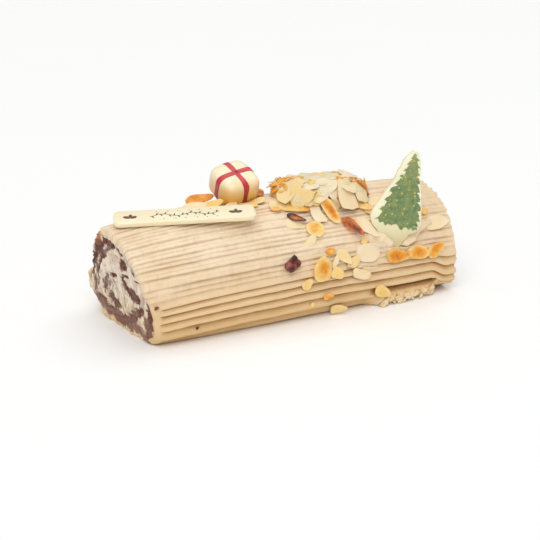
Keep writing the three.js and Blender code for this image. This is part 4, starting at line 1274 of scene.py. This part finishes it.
# The ribbon. Two bands cross on top and run down all four sides of the parcel.
RIBBON_HALF_WIDTH, RIBBON_THICKNESS = 1.6, 0.35
RIBBON_PROFILE = [
    (-1, -1), (-1, 0.4), (-0.9, 1), (-0.45, 1), (0, 1), (0.45, 1), (0.9, 1), (1, 0.4), (1, -1), (0, -1),
]
RIBBON_CELLS = 96
RIBBON_RED = srgb(196, 44, 58)
RIBBON_ROSE = srgb(214, 74, 84)
RIBBON_SHADED = srgb(152, 34, 28)
bands = []
ribbon_profile = np.array(RIBBON_PROFILE + RIBBON_PROFILE[:1])
for across in (0, 1):
    band, column, row = grid_piece("ribbon_band", RIBBON_CELLS, len(RIBBON_PROFILE))
    turn = 2 * math.pi * column / RIBBON_CELLS
    side, high = ribbon_profile[row].T
    level, rise = np.cos(turn), np.sin(turn)
    edge = RIBBON_HALF_WIDTH * (1 + 0.05 * np.sin(5 * turn + across)) * side / GIFT_HALF_SIZE[0]
    direction = np.stack([edge, level, rise] if across else [level, edge, rise], -1)
    seat_gift(band, gift_point(direction, 0.05 + RIBBON_THICKNESS * high[:, None]))
    close_up(band, math.radians(50))
    bands.append(band)
ribbon = join_pieces(bands, "gift_ribbon")
ribbon_material, tree, shader = new_material("red_cocoa_butter", roughness=0.32)
place = object_place(tree)
tone = mix(tree, spread(tree, noise(tree, place, 260, 3), 0.35, 0.7), RIBBON_RED, RIBBON_ROSE)
tone = tint(tree, tone, axis_of(tree, place, "Z"), 87 * MM, 75 * MM, 0.9, RIBBON_SHADED)
set_surface(tree, shader, tone)
ribbon.data.materials.append(ribbon_material)
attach(ribbon, "root")
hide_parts("gift_bonbon")

# ---------------------------------------------------------------------------------------------
# The plaque. A thin white chocolate bar with rounded corners and softened edges lies along the
# crown; a plain ornament of leaves, dots and a winding line is piped on it in dark chocolate.

PLAQUE_LENGTH = 86
PLAQUE_WIDTH = 15
PLAQUE_THICKNESS = 3
PLAQUE_CORNER = 4
PLAQUE_BEVEL = 0.6
PLAQUE_CENTRE = Vector((-70.8, -13.9, 70.4))
plaque_pose = (
    Matrix.Rotation(math.radians(-19.5), 3, "Z")
    @ Matrix.Rotation(math.radians(-0.5), 3, "Y")
    @ Matrix.Rotation(math.radians(16), 3, "X")
)


def bake_pose(piece, pose, centre):
    """Writes a pose in millimetres into the mesh, so that the object stays at the origin."""
    piece.data.transform(Matrix.Translation(centre * MM) @ pose.to_4x4())
    piece.data.update()


plaque = add_shape("cube", "plaque_bar", size=1)
plaque.scale = (PLAQUE_LENGTH * MM, PLAQUE_WIDTH * MM, PLAQUE_THICKNESS * MM)
bpy.ops.object.transform_apply(location=False, rotation=False, scale=True)
bpy.ops.object.mode_set(mode="EDIT")
bpy.ops.mesh.select_all(action="DESELECT")
bpy.ops.object.mode_set(mode="OBJECT")
for edge in plaque.data.edges:
    first, second = (plaque.data.vertices[index].co for index in edge.vertices)
    edge.select = abs(first.z - second.z) > MM
bpy.ops.object.mode_set(mode="EDIT")
bpy.ops.mesh.select_mode(type="EDGE")
bpy.ops.mesh.bevel(offset=PLAQUE_CORNER * MM, segments=8)
bpy.ops.object.mode_set(mode="OBJECT")
soften_edges(plaque, PLAQUE_BEVEL * MM, 3)
bake_pose(plaque, plaque_pose, PLAQUE_CENTRE)
bpy.ops.object.shade_smooth_by_angle(angle=math.radians(35))
plaque_material, tree, shader = new_material(
    "plaque_white_chocolate", roughness=0.38, subsurface_weight=0.2, subsurface_scale=2 * MM
)
place = object_place(tree)
cloudy = noise(tree, place, 60, 4, stretch=(0.5, 1, 1))
tone = mix(tree, spread(tree, cloudy, 0.35, 0.7), srgb(243, 232, 198), srgb(236, 220, 176))
set_surface(tree, shader, tone, bump(tree, noise(tree, place, 200, 3), 0.15 * MM, 0.35))
plaque.data.materials.append(plaque_material)
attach(plaque, "root")
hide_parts("message_plaque")

# The ornament, piped in dark chocolate: a winding line with loose dots beside it, small leaves on
# both its sides, and a sprig of three larger leaves at each end. A dot: place across and up, radius.
WAVE_HEIGHT, WAVE_LENGTH = 1.3, 2.9
DOTS_ABOVE, DOTS_BELOW = (-17, -10, -4, 3, 9, 16), (-13, -6, 0, 7, 13, 19)
SMALL_DOTS_ABOVE, SMALL_DOTS_BELOW = (-17, -4, 9), (-6, 7, 19)
SPRIGS = (-33, 31)


def winding_line(x):
    return WAVE_HEIGHT * math.sin(x / WAVE_LENGTH)


dots = [(x, winding_line(x), 0.3) for x in np.arange(-21, 21.1, 0.55)]
dots += [(x, 4.3, 0.36) for x in DOTS_ABOVE] + [(x, -4.3, 0.36) for x in DOTS_BELOW]
dots += [(x + 1.2, 3.0, 0.26) for x in SMALL_DOTS_ABOVE] + [(x - 1.4, -3.1, 0.26) for x in SMALL_DOTS_BELOW]
# A leaf: place across and up, half-length, slimness, and turn in degrees.
leaves = []
for number, x in enumerate(np.arange(-19.5, 20, 2.6)):
    side = 1 if number % 2 else -1
    leaves.append((x, winding_line(x) + side * 1.15, 1.05, 0.4, 62 if side > 0 else -242))
for x in SPRIGS:
    leaves += [(x - 2.1, -0.5, 2.3, 0.62, 160), (x + 1.9, -0.7, 2.2, 0.6, 24), (x + 0.2, 1.2, 1.5, 0.7, 80)]


def pipe_bead(x, y, radius, segments, rings, flatness=(1, 1, 0.5), turn=0):
    """A flattened bead of chocolate on the plaque's face."""
    bead = add_shape("uv_sphere", "bead", segments=segments, ring_count=rings, radius=radius * MM)
    bead.data.transform(Matrix.Rotation(math.radians(turn), 4, "Z") @ Matrix.Diagonal((*flatness, 1)))
    bead.data.transform(Matrix.Translation((x * MM, y * MM, PLAQUE_THICKNESS / 2 * MM)))
    bake_pose(bead, plaque_pose, PLAQUE_CENTRE)
    return bead


beads = [pipe_bead(x, y, radius, 12, 8) for x, y, radius in dots]
for x, y, half_long, slimness, turn in leaves:
    beads.append(pipe_bead(x, y, half_long, 20, 10, (1, slimness, 0.35 / half_long), turn))
ornament = join_pieces(beads, "plaque_ornament")
ornament_material, tree, shader = new_material("dark_chocolate_piping", roughness=0.4)
tone = mix(tree, noise(tree, object_place(tree), 500), srgb(84, 54, 38), srgb(112, 80, 54))
set_surface(tree, shader, tone)
ornament.data.materials.append(ornament_material)
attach(ornament, "root")
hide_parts("message_plaque")

# ---------------------------------------------------------------------------------------------
# The fir tree. A flat white chocolate plate cut to a fir's outline and printed with a green fir
# with golden dots, pushed foot first into the coat so that cream wells up round it.

TREE_FOOT = Vector((61, -43.5, 41))
TREE_THICKNESS = 3.0
TREE_BEVEL = 0.5
PRINT_BELOW, PRINT_ABOVE = 0.2, 0.25
tree_pose = (
    Matrix.Rotation(math.radians(-15), 3, "Z")
    @ Matrix.Rotation(math.radians(90), 3, "X")
    @ Matrix.Rotation(math.radians(-15), 3, "Z")
)
# Both outlines are across and up from the foot, from the top down the left side and up the right.
TREE_OUTLINE = [
    (-1.9, 62.5), (-6.9, 55.1), (-7.4, 50.6), (-8.7, 47.9), (-9.4, 42.0), (-10.6, 38.3), (-12.4, 34.6),
    (-13.5, 31.6), (-15.4, 27.0), (-16.6, 23.3), (-18.3, 18.5), (-18.4, 14.5), (-15.6, 10.4), (-11.8, 7.2),
    (-6.5, 2.4), (-1.2, -0.2), (-2.0, -6.0), (7.6, -6.0), (7.1, -0.2), (9.2, 4.6), (11.1, 8.4), (15.0, 10.4),
    (17.2, 13.0), (17.6, 17.0), (16.0, 21.6), (14.6, 26.8), (12.6, 31.5), (11.4, 35.8), (9.6, 40.4),
    (7.8, 44.2), (7.0, 49.8), (4.8, 56.4), (1.6, 61.4),
]
TREE_PRINT = [
    (-0.5, 60.9), (-2.6, 57.0), (-1.1, 56.8), (-4.2, 53.0), (-2.4, 52.6), (-5.6, 48.8), (-3.6, 48.4),
    (-7.2, 44.4), (-5.0, 43.9), (-8.8, 39.4), (-6.4, 38.7), (-10.8, 33.6), (-8.2, 33.0), (-12.6, 27.8),
    (-9.9, 27.2), (-14.4, 21.6), (-11.8, 20.8), (-15.9, 14.4), (-13.2, 14.9), (-11.4, 12.6), (-9.6, 13.6),
    (-7.6, 11.4), (-5.6, 12.6), (-3.0, 12.2), (-0.8, 13.6), (1.4, 13.2), (3.4, 11.2), (4.8, 10.6),
    (6.2, 12.6), (7.6, 12.9), (9.2, 11.6), (10.8, 12.9), (12.8, 11.6), (14.2, 12.8), (15.4, 12.4),
    (13.2, 17.8), (15.9, 18.6), (11.8, 24.4), (14.0, 25.2), (10.0, 30.4), (11.8, 31.2), (8.0, 36.2),
    (10.0, 37.0), (6.4, 41.6), (7.9, 42.4), (5.0, 47.0), (6.5, 47.8), (3.6, 51.9), (5.1, 52.6),
    (1.9, 56.2), (3.3, 56.9),
]


def feathered(outline, seed, rounds=3, depth=0.17):
    """Breaks each edge of an outline at its middle, again and again, into small uneven teeth."""
    teeth = np.random.default_rng(seed)
    for _ in range(rounds):
        broken = []
        for (x0, y0), (x1, y1) in zip(outline, outline[1:] + outline[:1]):
            push = teeth.uniform(-depth, depth)
            broken += [(x0, y0), ((x0 + x1) / 2 + push * (y1 - y0), (y0 + y1) / 2 - push * (x1 - x0))]
        outline = broken
    return outline


def plate_piece(name, outline, low, high):
    """A plate between two heights with the given outline."""
    outline = np.array(outline)
    piece = add_shape("circle", name, vertices=len(outline), radius=1, fill_type="NGON")
    turn = np.array([math.atan2(vertex.co.x, vertex.co.y) for vertex in piece.data.vertices])
    order = np.argsort(np.argsort(-turn % (2 * math.pi)))
    place_corners(piece, np.column_stack([outline[order], np.full(len(outline), low)]))
    bpy.ops.object.mode_set(mode="EDIT")
    thicken((high - low) * MM)
    return piece


plate = plate_piece("fir_plate", TREE_OUTLINE, -TREE_THICKNESS / 2, TREE_THICKNESS / 2)
soften_edges(plate, TREE_BEVEL * MM, 3)
bake_pose(plate, tree_pose, TREE_FOOT)
bpy.ops.object.shade_smooth_by_angle(angle=math.radians(35))
plate_material, tree, shader = new_material(
    "fir_white_chocolate", roughness=0.4, subsurface_weight=0.2, subsurface_scale=2 * MM
)
place = object_place(tree)
cloudy = noise(tree, place, 90, 3)
tone = mix(tree, spread(tree, cloudy, 0.35, 0.7), srgb(246, 241, 210), srgb(240, 233, 194))
# Toward its foot the plate is darker and yellower: painted shade.
tone = tint(tree, tone, axis_of(tree, place, "Z"), 62 * MM, 42 * MM, 0.8, srgb(206, 189, 132))
set_surface(tree, shader, tone, bump(tree, noise(tree, place, 260, 3), 0.15 * MM, 0.35))
plate.data.materials.append(plate_material)
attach(plate, "root")
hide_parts("fir_tree")

PRINT_DEEP_GREEN = srgb(84, 120, 78)
PRINT_GREEN = srgb(140, 150, 88)
PRINT_SIDE = srgb(158, 160, 104)
PRINT_TOP = srgb(172, 174, 116)
PRINT_GOLD = srgb(222, 196, 96)
face = TREE_THICKNESS / 2
printed = plate_piece("fir_print", feathered(TREE_PRINT, 97), face - PRINT_BELOW, face + PRINT_ABOVE)
bake_pose(printed, tree_pose, TREE_FOOT)
print_material, tree, shader = new_material("green_cocoa_butter", roughness=0.45)
place = object_place(tree)
fronds = noise(tree, place, 330, 5, 0.7)
tone = mix(tree, spread(tree, fronds, 0.36, 0.62), PRINT_DEEP_GREEN, PRINT_GREEN)
tone = tint(tree, tone, axis_of(tree, place, "X"), 58 * MM, 40 * MM, 0.45, PRINT_SIDE)
tone = tint(tree, tone, axis_of(tree, place, "Z"), 78 * MM, 100 * MM, 0.45, PRINT_TOP)
dots = add_node(tree, "ShaderNodeTexVoronoi", {"Vector": place, "Scale": 340}).outputs["Distance"]
tone = mix(tree, spread(tree, dots, 0.16, 0.22, 0.9, 0), tone, PRINT_GOLD)
set_surface(tree, shader, tone, bump(tree, fronds, 0.3 * MM, 0.6))
printed.data.materials.append(print_material)
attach(printed, "root")
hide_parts("fir_tree")

# ---------------------------------------------------------------------------------------------
# The praline chip. A broken crumb of dark caramelised nut brittle, with a few flat faces where it
# snapped, is stuck in the front of the coat.

CHIP_HALF_SIZE = (6.2, 4.2, 2.8)
CHIP_PLACE = (-14.5, 44.5)
CHIP_TURN = math.radians(35)
CHIP_LIFT = 1.9
SNAPPED_AT = 0.86

chip = add_shape("ico_sphere", "brittle_chip", subdivisions=4, radius=1)
corners = corners_of(chip)
chipped = corners * (1 + 0.22 * soft_noise(corners[:, :1] * 1.6 + corners[:, 2:], corners[:, 1:2] * 1.6, 101))
chipped *= 1 + 0.08 * soft_noise(corners[:, :1] * 5 + corners[:, 2:] * 4, corners[:, 1:2] * 5, 102)
chipped = np.clip(chipped, -SNAPPED_AT, SNAPPED_AT) * CHIP_HALF_SIZE
basis, origin = coat_place(*CHIP_PLACE)
chip_pose = np.array(basis @ Matrix.Rotation(CHIP_TURN, 3, "Z"))
place_corners(chip, (chipped + (0, 0, CHIP_LIFT)) @ chip_pose.T + np.array(origin))
close_up(chip, math.radians(28))
chip_material, tree, shader = new_material("nut_brittle", roughness=0.4)
place = object_place(tree)
tone = mix(tree, spread(tree, noise(tree, place, 260, 3), 0.42, 0.62), srgb(70, 22, 22), srgb(146, 70, 50))
set_surface(tree, shader, tone, bump(tree, noise(tree, place, 600, 3), 0.3 * MM, 0.6))
chip.data.materials.append(chip_material)
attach(chip, "root")
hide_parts("praline_chip")
